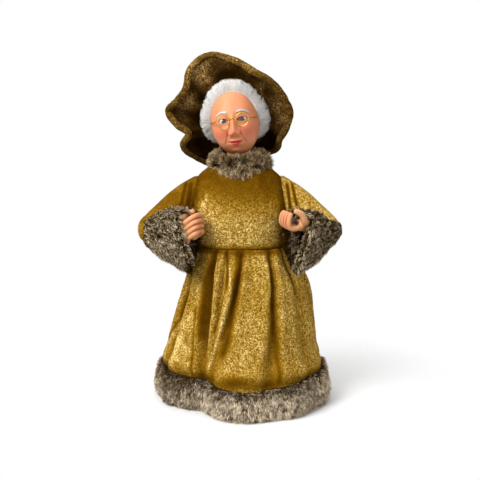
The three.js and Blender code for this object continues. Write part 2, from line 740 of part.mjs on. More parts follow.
// How far the features stand out from the plain head, at a place seen from the front.
function relief(acrossFace, upFace) {
  const unit = HEAD_HALF_HEIGHT / 44;
  const x = Math.abs(acrossFace) / unit;
  const z = upFace / unit;
  const noseTip = 9 * bump(x, 5) * bump(z + 15, 6) + 3 * bump(x - 5, 3.5) * bump(z + 17, 4);
  const noseRidge = 4.5 * bump(x, 4) * bump(z + 5, 8);
  const eyes = -4 * bump(x - EYE_X / unit, 7) * bump(z - EYE_Z / unit, 5.5);
  const cheeks = 2.6 * bump(x - 17, 9) * bump(z + 14, 10);
  const lips = 2.2 * bump(x, 8) * bump(z + 27, 4.5);
  const chin = 3 * bump(x, 11) * bump(z + 37, 8);
  const brow = 1.6 * bump(x - 12, 9) * bump(z - 10, 5);
  return unit * (noseTip + noseRidge + eyes + cheeks + lips + chin + brow);
}

// The bare skull and face along one direction:
// degrees back from the face's middle, azimuth from the doll's left.
function headPoint(back, azimuth) {
  const b = rad(back);
  const a = rad(azimuth);
  const d = new THREE.Vector3(Math.sin(b) * Math.cos(a), -Math.cos(b), Math.sin(b) * Math.sin(a));
  const p = d.divideScalar(Math.hypot(d.x / HEAD_HALF_WIDTH, d.y / HEAD_HALF_DEPTH, d.z / HEAD_HALF_HEIGHT));
  p.y -= relief(p.x, p.z) * THREE.MathUtils.smoothstep(-p.y, 0, 0.5 * HEAD_HALF_DEPTH);
  return p;
}

// The front of the face at a place seen from the front.
function faceFront(x, z) {
  const depth = HEAD_HALF_DEPTH * Math.sqrt(1 - (x / HEAD_HALF_WIDTH) ** 2 - (z / HEAD_HALF_HEIGHT) ** 2);
  return -depth - relief(x, z);
}

// Where the hair starts, in degrees back from the middle of the face.
function hairline(azimuth) {
  const low = (1 - Math.sin(rad(azimuth))) / 2;
  return lerp(HAIRLINE_TOP, HAIRLINE_NAPE, low ** 2.2);
}

// Where the hat's crown starts.
function crownEdge(azimuth) {
  const low = (1 - Math.sin(rad(azimuth))) / 2;
  return lerp(CROWN_EDGE_TOP, CROWN_EDGE_NAPE, low ** 1.3);
}

const SHELL_EDGE = 0.5; // a wig or a crown lies this close at its edge
const SHELL_SLACK = 1.5; // and this much looser behind it
const outwards = (p, by) => p.clone().addScaledVector(p.clone().normalize(), by);
const headAzimuths = Array.from({ length: HEAD_SIDES }, (_, i) => (i / HEAD_SIDES) * 360);

// How thick the hair stands on the head at a share of the way from the hairline to the back of the head.
const hairDepth = (share) => {
  const rise = Math.min(1, share / 0.16) ** 0.6;
  return HAIR_THICK * (0.25 + 0.75 * rise) * (1 - 0.35 * share);
};

function hairPoint(back, azimuth, clearance = 0) {
  const start = hairline(azimuth);
  const share = THREE.MathUtils.clamp((back - start) / (180 - start), 0, 1);
  return outwards(headPoint(back, azimuth), hairDepth(share) + clearance);
}

const BACK_END = 179.5; // degrees back, just short of the point behind the head

// A shell from an edge to the back of the head, between an inner and an outer surface.
function backShell(edge, inner, outer, shares) {
  const row = (surface, s) => headAzimuths.map((a) => surface(lerp(edge(a), BACK_END, s), a, s));
  const wall = (surface) => shares.map((s) => row(surface, s));
  return skin([...wall(inner).reverse(), ...wall(outer)]);
}

const headTurn = new THREE.Matrix4()
  .makeRotationFromEuler(new THREE.Euler(0, rad(HEAD_ROLL), rad(HEAD_YAW)))
  .setPosition(HEAD_AT);
const onHead = (geometry) => geometry.applyMatrix4(headTurn);

function head() {
  const rows = [4, 9, 15, 21, 27, 33, 40, 48, 57, 67, 79, 92, 106, 122, 140, 160, 176];
  const skull = skin(rows.map((b) => headAzimuths.map((a) => headPoint(b, a))));
  const neck = cylinder(NECK_R, onSpine(NECK_BOTTOM_Z), onSpine(HEAD_AT.z - 10));
  const socket = cylinder(POST_R + TURN_GAP, onSpine(NECK_BOTTOM_Z - 1), onSpine(POST_TOP_Z + GAP));
  let solid = toSolid(onHead(skull)).add(toSolid(neck)).subtract(toSolid(socket));
  for (const side of [-1, 1]) solid = solid.subtract(toSolid(eyeball(side, EYE_R + GAP)));
  add("head", solid, paintedResin);
  add("left_eye", eyeball(1, EYE_R), glassEye);
  add("right_eye", eyeball(-1, EYE_R), glassEye);
}

// The glass eye sits in its socket with its front just behind the lids.
function eyeball(side, radius) {
  const middle = new THREE.Vector3(side * EYE_X, faceFront(EYE_X, EYE_Z) + 0.72 * EYE_R, EYE_Z);
  return onHead(new THREE.SphereGeometry(radius, 12, 8).translate(middle.x, middle.y, middle.z));
}

const hairShares = [0, 0.05, 0.16, 0.35, 0.6, 0.85, 1];

function hair() {
  const inner = (b, a, share) => outwards(headPoint(b, a), SHELL_EDGE + SHELL_SLACK * Math.min(1, 8 * share));
  const shell = backShell(hairline, inner, (b, a) => hairPoint(b, a), hairShares);
  const neck = cylinder(NECK_R + GAP, onSpine(NECK_BOTTOM_Z), onSpine(HEAD_AT.z));
  add("hair", toSolid(onHead(shell)).subtract(toSolid(neck)), mohair);
}

// Gilt spectacles: two rims, a bridge over the nose and two side arms that end at the hair.
function spectacles() {
  const lens = (side) => new THREE.Vector3(side * EYE_X, 0, EYE_Z);
  const circle = (side, y) => ellipse(lens(side).setY(y), X, Z, RIM_R, RIM_R, 16);
  const plane = Math.min(...circle(1, 0).map((p) => faceFront(p.x, p.z))) - RIM_WIRE_R - GAP;
  const rim = (side) => {
    const middle = lens(side).setY(plane);
    const sections = circle(side, plane).map((p) => {
      const out = p.clone().sub(middle).normalize();
      return ellipse(p, out, Y, RIM_WIRE_R, RIM_WIRE_R, 5);
    });
    return toSolid(skin(sections, { loop: true }));
  };
  const bridge = [-1, -0.5, 0, 0.5, 1].map((s) => {
    const arch = 1 - s * s;
    const z = EYE_Z + 1 + 2 * arch;
    const y = Math.min(plane, faceFront(0, z) - RIM_WIRE_R - GAP);
    return new THREE.Vector3(s * (EYE_X - RIM_R + 0.3), lerp(plane, y, arch), z);
  });
  let frame = rim(1).add(rim(-1)).add(toSolid(tube(bridge, RIM_WIRE_R, 6, 6)));
  for (const side of [-1, 1]) {
    const azimuth = side > 0 ? 4 : 176;
    const hinge = lens(side).add(new THREE.Vector3(side * (RIM_R - 0.2), plane, 1));
    const bow = outwards(headPoint(TEMPLE, azimuth), 3 * RIM_WIRE_R);
    const end = outwards(headPoint(hairline(azimuth) - 3, azimuth), RIM_WIRE_R + 2 * GAP);
    frame = frame.add(toSolid(tube([hinge, bow, end], RIM_WIRE_R, 6, 6)));
  }
  add("spectacles", onHead(toGeometry(frame)), giltWire);
}

// Hat

const brimCurve = new THREE.CatmullRomCurve3(
  BRIM_LOBES.map(([azimuth, reach, aft]) => {
    const a = rad(azimuth);
    return new THREE.Vector3(reach * Math.cos(a), aft, reach * Math.sin(a));
  }),
  true,
);
const brimEdge = brimCurve.getPoints(BRIM_SIDES).slice(0, BRIM_SIDES);

// The brim along one line from its root on the hair to its edge:
// root, edge, and the ways out of and across the edge.
const brimLines = brimEdge.map((edge, i) => {
  const azimuth = THREE.MathUtils.radToDeg(Math.atan2(edge.z, edge.x));
  const root = hairPoint(crownEdge(azimuth), azimuth, SHELL_EDGE + 1 + BRIM_THICK / 2);
  const next = brimEdge[(i + 1) % BRIM_SIDES];
  const last = brimEdge[(i + BRIM_SIDES - 1) % BRIM_SIDES];
  const ahead = next.clone().sub(last).normalize();
  const out = edge.clone().sub(root).projectOnPlane(ahead).normalize();
  return { root, edge, out, side: new THREE.Vector3().crossVectors(ahead, out) };
});

function hat() {
  const shares = [0, 0.2, 0.45, 0.7, 0.9, 1];
  const lift = 8; // degrees between the brim's root and the crown's edge
  const crown = backShell(
    (a) => crownEdge(a) + lift,
    (b, a) => hairPoint(b, a, -1),
    (b, a, share) => hairPoint(b, a, CROWN_PUFF * (0.5 + 0.5 * Math.min(1, 4 * share) ** 0.5)),
    shares,
  );
  const hairBack = (a, s) => lerp(hairline(a), BACK_END, s);
  const overHair = hairShares.map((s) => headAzimuths.map((a) => hairPoint(hairBack(a, s), a, SHELL_EDGE)));
  add("hat_crown", toSolid(onHead(crown)).subtract(toSolid(onHead(skin(overHair)))), hatVelvet);

  const steps = [0, 0.3, 0.65, 1];
  const sections = brimLines.map(({ root, edge, out, side }) => {
    const tip = edge.clone().addScaledVector(out, -BRIM_ROLL_R - GAP);
    const aft = side.clone().multiplyScalar(Math.sign(side.y));
    const at = (s) => root.clone().lerp(tip, s).addScaledVector(aft, BRIM_CUP * Math.sin(Math.PI * s));
    const frontSide = steps.map((s) => at(s).addScaledVector(aft, -BRIM_THICK / 2));
    const backSide = steps.map((s) => at(s).addScaledVector(aft, BRIM_THICK / 2)).reverse();
    return [...frontSide, ...backSide];
  });
  add("hat_brim", onHead(skin(sections, { loop: true })), hatVelvet);
  const roll = brimLines.map(({ edge, out, side }) => ellipse(edge, out, side, BRIM_ROLL_R, BRIM_ROLL_R, 8));
  add("brim_edge_roll", onHead(skin(roll, { loop: true })), hatVelvet);
}

baseAndFrame();
torsoAndBodice();
skirt();
hemTrim();
dressedArm("left");
dressedArm("right");
head();
hair();
spectacles();
hat();

export default doll;
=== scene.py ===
import math
from functools import partial

import bpy
import numpy as np
from mathutils import Matrix, Vector


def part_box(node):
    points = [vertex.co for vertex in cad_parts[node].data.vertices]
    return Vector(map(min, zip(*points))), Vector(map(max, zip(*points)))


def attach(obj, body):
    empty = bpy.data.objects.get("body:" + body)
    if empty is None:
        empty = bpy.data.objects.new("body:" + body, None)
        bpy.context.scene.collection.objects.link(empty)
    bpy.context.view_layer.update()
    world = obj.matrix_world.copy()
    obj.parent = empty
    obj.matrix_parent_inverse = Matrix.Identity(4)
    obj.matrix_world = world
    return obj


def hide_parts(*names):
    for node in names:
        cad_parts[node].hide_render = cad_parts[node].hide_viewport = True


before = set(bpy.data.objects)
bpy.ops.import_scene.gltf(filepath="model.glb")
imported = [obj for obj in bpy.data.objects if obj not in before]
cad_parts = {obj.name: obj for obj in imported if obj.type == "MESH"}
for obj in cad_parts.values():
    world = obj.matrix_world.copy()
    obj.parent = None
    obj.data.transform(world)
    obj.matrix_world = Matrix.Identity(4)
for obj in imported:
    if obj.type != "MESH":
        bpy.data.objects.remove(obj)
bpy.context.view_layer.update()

MM = 0.001

# The doll's sizes in millimetres: x to the doll's left, y away from the viewer, z up
BODY_X = -4.0
WAIST_Z = 206.7
WAIST_HALF = (58.0, 45.0)
HEM_Z = 4.0
HEM_HALF = (111.0, 107.0)
TRIM_TOP_Z = 43.0
TRIM_BOTTOM_Z = 1.2
HEM_THICK = 5.0
FLANK_X = 56.2
DRESS_ROOM = (58.5, 48.5)
SHOULDER_Z = 298.0
NECKBAND_Z = 320.0
COLLAR_R = 27.0
COLLAR_HALF = (8.0, 12.5)
COLLAR_Z = 313.0
COLLAR_DIP = 3.5
ARMHOLE_X = 57.5
ARMHOLE_Z = 274.0
ARMHOLE_R = 24.0
ELBOW = np.array([110.5, -32.0, 232.0])
ELBOW_R = 22.5
CLOTH_ELBOW_R = 19.5
MOUTH_HALF_HEIGHT = 34.5
MOUTH_HALF_DEPTH = 19.0
FOREARM_R = 12.0
WRIST_R = 8.0
NECK_R = 15.5
NECK_SPAN = (306.5, 350.0)
HEAD_AT = np.array([-9.0, -6.0, 369.0])
HEAD_HALF = (31.0, 38.0, 44.0)
FACE_ROOM = np.array([36, 45, 48])
EYE_X = 12.0
EYE_Z = 2.0
EYE_R = 6.0
HAIR_THICK = 11.0
RIM_R = 8.2
RIM_WIRE_R = 0.7
BRIM_THICK = 3.4
BRIM_LIFT = 3.0  # of the seam between brim and crown, above the hair
ROLL_R = 4.8
BRIM_NAPE = (29, 325)  # the brim's lower edge behind the neck: place fore and aft, height

# Shares and powers that shape the skirt, the torso and the sleeve's mouth
SKIRT_BELL = 1.45
SKIRT_SWELL = 11.0
SKIRT_SWELL_AT = 0.26
PUFF_DOWN = 0.745
TRIM_TOP_DOWN = (WAIST_Z - TRIM_TOP_Z) / (WAIST_Z - HEM_Z)
TORSO_SQUARENESS = 2.6
MOUTH_LEAN = 0.28

# Degrees back from the face's middle, at the top of the head and at the nape
HAIRLINE = (63, 140)
CROWN_EDGE = (84, 132)

# Half width, half depth and height of the torso, from the waist to the neckband
TORSO = [(58, 45, 207), (59, 48, 248), (55, 39, 298), (38, 31.8, 311.6), (21, 21, 320)]

# Skirt folds: azimuth from the doll's left at the waist and at the hem, in degrees,
# depth at the waist and at the hem, half width in degrees
BROAD_FOLD = (-130, -130, 0, 21, 21)
FOLDS = [
    (-129, -127, 5, 8, 6),
    (-113, -116, 4, 2, 4.5),
    (-87, -117, 6, 2, 6),
    (-49, -70, 5, 5, 6),
    (-30, -34, 2, 3, 7),
    (-14, 0, 4, 3, 7),
    (18, 18, 3, 4, 7),
    (38, 38, 4, 6, 8),
    (66, 66, 4, 5, 7),
    (96, 96, 4, 7, 8),
    (126, 126, 4, 5, 7),
    (156, 156, 3, 6, 8),
    (-155, -168, 4, 6, 7),
]

# Creases in the skirt: depth, half width, how much painted shade lies in them,
# then azimuth and height along the line; a ridge has a negative depth, and negative shade, which is a
# painted highlight
CREASES = [
    (2.0, 4.5, 0.4, [(-129, 206), (-134, 164), (-134, 127), (-133, 92)]),
    (1.2, 1.8, 0.3, [(-142, 130), (-135, 45)]),
    (2.0, 2.2, 0.4, [(-114, 206), (-108, 178), (-108, 158)]),
    (-1.6, 1.8, -0.3, [(-107, 188), (-102, 156), (-107, 126), (-114, 88), (-119, 60)]),
    (1.5, 5.5, 0.4, [(-93, 206), (-97, 172), (-98, 155), (-100, 126), (-104, 91), (-107, 76)]),
    (1.0, 1.6, 0.3, [(-110, 152), (-117, 104)]),
    (1.5, 2.0, 0.35, [(-158, 180), (-166, 110), (-177, 74)]),
    (1.2, 3.2, 0.3, [(-49, 206), (-56, 158), (-63, 45)]),
    (1.8, 2.0, 0.35, [(-32, 206), (-31, 179), (-32, 150)]),
    (1.2, 2.0, 0.3, [(-8, 204), (-6, 172)]),
]

# The hat brim's edge: azimuth from the doll's left, reach from the head's middle, place fore and aft
BRIM_LOBES = [
    (2, 71, 2),
    (20, 69, -8),
    (40, 68, -16),
    (62, 67, -14),
    (80, 75, -4),
    (103, 89, 4),
    (122, 87, -4),
    (138, 74, -14),
    (152, 78, -4),
    (164, 88, 8),
    (176, 75, 2),
    (187, 62, -2),
    (197, 77, 14),
    (212, 74, 26),
    (236, 66, 46),
    (268, 56, 56),
    (296, 56, 52),
    (316, 64, 36),
    (330, 62, 14),
    (346, 67, 10),
]


class Arm:
    """One arm, from the middle of the shoulders with x outwards."""

    def __init__(self, name, side, mouth, wrist, pointing, turn, cuff_span):
        self.name = name
        self.side = side
        self.mouth = np.array(mouth)
        self.wrist = np.array(wrist)
        self.pointing = np.array(pointing) / np.linalg.norm(pointing)
        self.turn = turn
        self.cuff_span = cuff_span
        reach = self.mouth - ELBOW
        reach[2] = 0
        self.forearm = reach / np.linalg.norm(reach)

    def facing(self, t):
        """The way a section of the bell sleeve faces: along the forearm, then at the body."""
        return unit(lerp(self.forearm, np.array([-1.0, 0, 0]), share(t)[..., None]))

    def out(self, points):
        """How far the doll's points lie out from the middle of the shoulders."""
        return self.side * (points[..., 0] - BODY_X)

    def from_middle(self, points):
        """The doll's points with x outwards from the middle of the shoulders."""
        local = np.array(points, float)
        local[..., 0] = self.out(local)
        return local

    def place(self, points):
        """Points with x outwards, back in the doll's frame."""
        placed = np.array(points, float)
        placed[..., 0] = BODY_X + self.side * placed[..., 0]
        return placed


LEFT = Arm("left", 1, (85, -53, 221), (88.6, -56.6, 242), (-0.975, -0.2, 0.08), 90, (58.5, 145))
RIGHT = Arm("right", -1, (72, -48, 221), (79, -49.2, 233), (-0.86, -0.48, 0.17), 0, (52.0, 125))


# Numbers


def lerp(a, b, t):
    return a + (b - a) * t


def share(value):
    return np.clip(value, 0.0, 1.0)


def ease(value):
    t = share(value)
    return t * t * (3 - 2 * t)


def bump(distance, width):
    """1 at no distance, and much less beyond the width."""
    return np.exp(-((distance / width) ** 2))


def unit(vectors):
    return vectors / np.maximum(np.linalg.norm(vectors, axis=-1, keepdims=True), 1e-9)


def stack(x, y, z):
    return np.stack(np.broadcast_arrays(x, y, z), axis=-1).astype(float)


def around(reach, a, z):
    """A point at an angle round the upright axis."""
    return stack(reach * np.cos(a), reach * np.sin(a), z)


def oval(middle, side, up, half_side, half_up, a):
    """A point at an angle on an oval about middle, which side and up span."""
    return middle + side * (half_side * np.cos(a))[..., None] + up * (half_up * np.sin(a))[..., None]


def azimuth_of(points, up=1):
    return np.degrees(np.arctan2(points[..., up], points[..., 0]))


def wrapped(degrees):
    """The same angle, between -180 and 180."""
    return (degrees + 180) % 360 - 180


def lattice(i, j, k, seed):
    """A fixed random number between -1 and 1 for a place of whole numbers."""
    n = (i * 374761393 + j * 668265263 + k * 1103515245 + seed * 12345701) & 0xFFFFFFFF
    n = ((n ^ (n >> 13)) * 1274126177) & 0xFFFFFFFF
    return ((n ^ (n >> 16)) & 0xFFFF) / 32767.5 - 1.0


def lumps(points, size, seed):
    """Smooth random swellings between -1 and 1, of about the given size."""
    place = points / np.asarray(size, float)
    cell = np.floor(place).astype(np.int64)
    inside = ease(place - cell)
    total = 0.0
    for corner in range(8):
        step = np.array([corner & 1, corner >> 1 & 1, corner >> 2])
        weight = np.prod(np.where(step == 1, inside, 1 - inside), axis=-1)
        at = cell + step
        total = total + weight * lattice(at[..., 0], at[..., 1], at[..., 2], seed)
    return total


def ripples(azimuth, count, seed):
    """Irregular waves round a full turn, about count of them."""
    a = np.radians(azimuth)
    reach = count / (2 * math.pi)
    return lumps(around(reach, a, 0 * a), 1.0, seed)


def spline(points, along, closed=False):
    """A smooth curve through points; along runs from 0 to 1."""
    points = np.asarray(points, float)
    count = len(points)
    runs = count if closed else count - 1
    t = np.asarray(along) * runs
    first = np.minimum(np.floor(t).astype(int), runs - 1)
    t = (t - first)[..., None]

    def knot(step):
        at = first + step
        if closed:
            return points[at % count]
        before = 2 * points[0] - points[1]
        after = 2 * points[-1] - points[-2]
        return np.vstack([before, points, after])[at + 1]

    p0, p1, p2, p3 = knot(-1), knot(0), knot(1), knot(2)
    return 0.5 * (
        2 * p1
        + (p2 - p0) * t
        + (2 * p0 - 5 * p1 + 4 * p2 - p3) * t**2
        + (3 * p1 - p0 - 3 * p2 + p3) * t**3
    )


# Pieces


def deselect():
    bpy.ops.object.select_all(action="DESELECT")


def only(piece):
    deselect()
    piece.select_set(True)
    bpy.context.view_layer.objects.active = piece


def edit_all(piece):
    only(piece)
    bpy.ops.object.mode_set(mode="EDIT")
    bpy.ops.mesh.select_all(action="SELECT")


def leave_edit():
    bpy.ops.object.mode_set(mode="OBJECT")


def use_modifier(piece, kind, **settings):
    only(piece)
    modifier = piece.modifiers.new(kind.title(), kind)
    for key, value in settings.items():
        setattr(modifier, key, value)
    bpy.ops.object.modifier_apply(modifier=modifier.name)


def read_points(piece, what):
    flat = np.empty(len(piece.data.vertices) * 3)
    piece.data.vertices.foreach_get(what, flat)
    return flat.reshape(-1, 3)


def points_of(piece):
    return read_points(piece, "co") / MM


def move_points(piece, points):
    piece.data.vertices.foreach_set("co", (points * MM).ravel())
    piece.data.update()


def face_outwards(piece):
    edit_all(piece)
    bpy.ops.mesh.normals_make_consistent(inside=False)
    leave_edit()


SEAM_GAP = 0.004
SLIVER = 1e-4


def merge_seams(piece):
    """Closes a grid where its edges meet."""
    edit_all(piece)
    bpy.ops.mesh.remove_doubles(threshold=SEAM_GAP * MM)
    bpy.ops.mesh.dissolve_degenerate(threshold=SLIVER * MM)
    leave_edit()
    face_outwards(piece)


def named(piece, name):
    piece.name = name
    piece.data.name = name
    return piece


def surface(name, columns, rows, form):
    """A grid laid over a form, which turns shares across and along into points."""
    deselect()
    bpy.ops.mesh.primitive_grid_add(x_subdivisions=columns, y_subdivisions=rows, size=1)
    piece = named(bpy.context.object, name)
    shares = points_of(piece) * MM + 0.5
    move_points(piece, form(share(shares[:, 0]), share(shares[:, 1])))
    merge_seams(piece)
    return piece


def join(pieces, name):
    only(pieces[0])
    for piece in pieces:
        piece.select_set(True)
    bpy.ops.object.join()
    return named(pieces[0], name)


def thicken(piece, thickness):
    """Gives a skin of cloth its thickness, inwards."""
    use_modifier(piece, "SOLIDIFY", thickness=thickness * MM, offset=-1)


def fuse(parts, name, voxel, rounds):
    """Joins closed parts into one skin and smooths it where they meet."""
    piece = join(parts, name)
    use_modifier(piece, "REMESH", mode="VOXEL", voxel_size=voxel * MM)
    use_modifier(piece, "SMOOTH", factor=0.5, iterations=rounds)
    return piece


def crumples(*kinds):
    """A sum of lumps: amount, size and seed of each kind."""
    return lambda points: sum(amount * lumps(points, size, seed) for amount, size, seed in kinds)


def swell(piece, amount):
    """Moves each point along its normal by what amount gives for its place."""
    points = points_of(piece)
    move_points(piece, points + read_points(piece, "normal") * amount(points)[:, None])


def select_points(piece, chosen):
    """Goes into edit mode with only the chosen points selected."""
    edit_all(piece)
    bpy.ops.mesh.select_mode(type="VERT")
    bpy.ops.mesh.select_all(action="DESELECT")
    leave_edit()
    piece.data.vertices.foreach_set("select", chosen)
    bpy.ops.object.mode_set(mode="EDIT")


def cut_off(piece, at, facing, chosen=None):
    """Cuts the piece, or its chosen points, with a plane and drops what lies beyond it."""
    if chosen is None:
        edit_all(piece)
    else:
        select_points(piece, chosen)
    bpy.ops.mesh.bisect(
        plane_co=Vector(np.asarray(at) * MM),
        plane_no=Vector(np.asarray(facing, float)),
        clear_outer=True,
    )
    leave_edit()


def fill_ends(piece):
    edit_all(piece)
    bpy.ops.mesh.select_mode(type="EDGE")
    bpy.ops.mesh.select_all(action="DESELECT")
    bpy.ops.mesh.select_non_manifold()
    bpy.ops.mesh.edge_face_add()
    bpy.ops.mesh.select_mode(type="VERT")
    leave_edit()


def paint(piece, name, values):
    """A value for each point, which a material reads by name."""
    layer = piece.data.attributes.new(name, "FLOAT", "POINT")
    layer.data.foreach_set("value", np.asarray(values, np.float32))


def paint_pile_light(piece, lie):
    """Paints the velvet's lie at each point: above 0 a painted highlight, below 0 painted shade in its
    deep colour.
    """
    paint(piece, "lie", lie(points_of(piece)))


def cover(piece, material):
    piece.data.materials.clear()
    piece.data.materials.append(material)


def settle(piece, body, nodes, material):
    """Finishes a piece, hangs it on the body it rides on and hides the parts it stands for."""
    cover(piece, material)
    only(piece)
    bpy.ops.object.shade_smooth()
    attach(piece, body)
    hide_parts(*nodes)


def ribbons(name, paths, half_widths, sideways, tones):
    """Thin fibres: each is a flat ribbon along its path that ends in a point."""
    count, steps = paths.shape[:2]
    offset = sideways[:, None, :] * half_widths[:, :, None]
    sides = np.stack([paths - offset, paths + offset], axis=2)[:, :-1]
    points = np.concatenate([sides.reshape(count, -1, 3), paths[:, -1:]], axis=1)
    each = points.shape[1]
    start = np.arange(count)[:, None] * each
    faces = []
    for step in range(steps - 2):
        corners = np.array([0, 1, 3, 2]) + 2 * step
        faces += (start + corners).tolist()
    faces += (start + np.array([each - 3, each - 2, each - 1])).tolist()
    mesh = bpy.data.meshes.new(name)
    mesh.from_pydata(points.reshape(-1, 3) * MM, [], faces)
    piece = bpy.data.objects.new(name, mesh)
    bpy.context.scene.collection.objects.link(piece)
    along = np.append(np.repeat(np.linspace(0, 1, steps)[:-1], 2), 1)
    paint(piece, "along", np.tile(along, count))
    paint(piece, "tone", np.repeat(tones, each))
    lay_out_fibres(piece, count, each, along)
    return piece


def lay_out_fibres(piece, count, each, along):
    """A map with a small square for each fibre, root at the bottom."""
    across = math.ceil(math.sqrt(count))
    fibre = np.arange(count)
    corner = np.stack([fibre % across, fibre // across], axis=-1)[:, None, :]
    side = np.append(np.tile([0.15, 0.85], each // 2), 0.5)
    within = np.stack([side, 0.1 + 0.8 * along], axis=-1)[None]
    on_map = ((corner + within) / across).reshape(-1, 2)
    layer = piece.data.uv_layers.new(name="OFBake")
    order = np.empty(len(piece.data.loops), np.int32)
    piece.data.loops.foreach_get("vertex_index", order)
    layer.uv.foreach_set("vector", on_map[order].astype(np.float32).ravel())


def lie_of(form, u, v):
    """Points of a form with their outward normals and the area round them."""
    step = 1e-4
    points = form(u, v)
    along_u = form((u + step) % 1.0, v) - points
    along_v = form(u, np.minimum(v + step, 1.0)) - form(u, np.minimum(v + step, 1.0) - step)
    normals = np.cross(along_u, along_v)
    area = np.linalg.norm(normals, axis=-1)
    normals = unit(normals)
    radial = points - points.mean(axis=0)
    radial[:, 2] = 0
    if np.sum(normals * radial) < 0:
        normals = -normals
    return points, normals, area


# Half width of a fibre, fibres in a tuft, how far a tuft spreads round the band and across it
HEM_PILE = (0.32, 14, (0.004, 0.03))
CUFF_PILE = (0.32, 14, (0.006, 0.02))
COLLAR_PILE = (0.34, 20, (0.007, 0.035))
# Spread of the leans of tufts and of single fibres, and of their tones
TUFT_LEAN = 0.3
FIBRE_LEAN = 0.22
TONE_SPREAD = 0.24
# How far a tip bends on beyond its fibre's lower half, and is drawn to the tip of its tuft
TIP_BEND = 0.6
TIP_DRAW = 0.62
ROOT_DEPTH = 0.4
FLOOR_ROOM = 0.4


def even(value):
    """The same value at every place."""
    return lambda points: np.full(len(points), value)


def fur(name, form, count, seed, length, comb, keep, tone, width, tuft, spread):
    """Pile on a form: count fibres, tuft of them to a tuft, leaning along comb where keep allows.

    length and tone give a fibre's length and its lightness by its place, painted shade included, width is
    half a fibre's width, and spread is how far a tuft's fibres stand apart, round the form and across it.
    """
    rng = np.random.default_rng(seed)
    tries_u = rng.random(6 * count // tuft)
    tries_v = rng.random(len(tries_u))
    area = lie_of(form, tries_u, tries_v)[2]
    chosen = rng.choice(len(area), size=count // tuft, p=area / area.sum())
    tuft_u = tries_u[chosen]
    tuft_v = tries_v[chosen]
    of = rng.integers(len(chosen), size=count)
    u = (tuft_u[of] + rng.normal(0, spread[0], count)) % 1.0
    v = share(tuft_v[of] + rng.normal(0, spread[1], count))

    def grow(points, normals, lean, long):
        way = unit(normals + comb(points) + lean)
        middle = points + way * long[:, None] * 0.5
        tip_way = unit(way + comb(points) * TIP_BEND)
        return middle, middle + tip_way * long[:, None] * 0.5

    guide_points, guide_normals, _ = lie_of(form, tuft_u, tuft_v)
    guide_lean = rng.normal(0, TUFT_LEAN, (len(chosen), 3))
    guide_long = length(guide_points) * rng.uniform(0.8, 1.25, len(chosen))
    guide_tips = grow(guide_points, guide_normals, guide_lean, guide_long)[1]
    points, normals, _ = lie_of(form, u, v)
    roots = points - normals * ROOT_DEPTH
    lean = guide_lean[of] + rng.normal(0, FIBRE_LEAN, (count, 3))
    long = guide_long[of] * rng.uniform(0.7, 1.1, count)
    middle, tip = grow(points, normals, lean, long)
    tip = lerp(tip, guide_tips[of], TIP_DRAW)
    paths = np.stack([roots, middle, tip], axis=1)
    paths[..., 2] = np.maximum(paths[..., 2], FLOOR_ROOM)
    sideways = unit(np.cross(tip - roots, rng.normal(0, 1, (count, 3))))
    half = width * rng.uniform(0.7, 1.2, count)[:, None] * np.array([1.0, 0.8, 0.0])
    tones = 0.5 + TONE_SPREAD * rng.normal(0, 1, len(chosen))[of] + TONE_SPREAD * rng.normal(0, 1, count)
    # tone(points) adds the painted shade of the fur's place
    tones = share(tones + tone(points))
    good = keep(middle) & keep(tip)
    return ribbons(name, paths[good], half[good], sideways[good], tones[good])


# Finishes


def colour(red, green, blue):
    """A colour given as it looks on a screen, 0 to 255."""
    linear = []
    for value in (red, green, blue):
        c = value / 255
        linear.append(c / 12.92 if c <= 0.04045 else ((c + 0.055) / 1.055) ** 2.4)
    return (*linear, 1.0)


def tune(sockets, **values):
    """Sets a node's sockets; an underscore stands for a space."""
    for label, value in values.items():
        sockets[label.replace("_", " ")].default_value = value


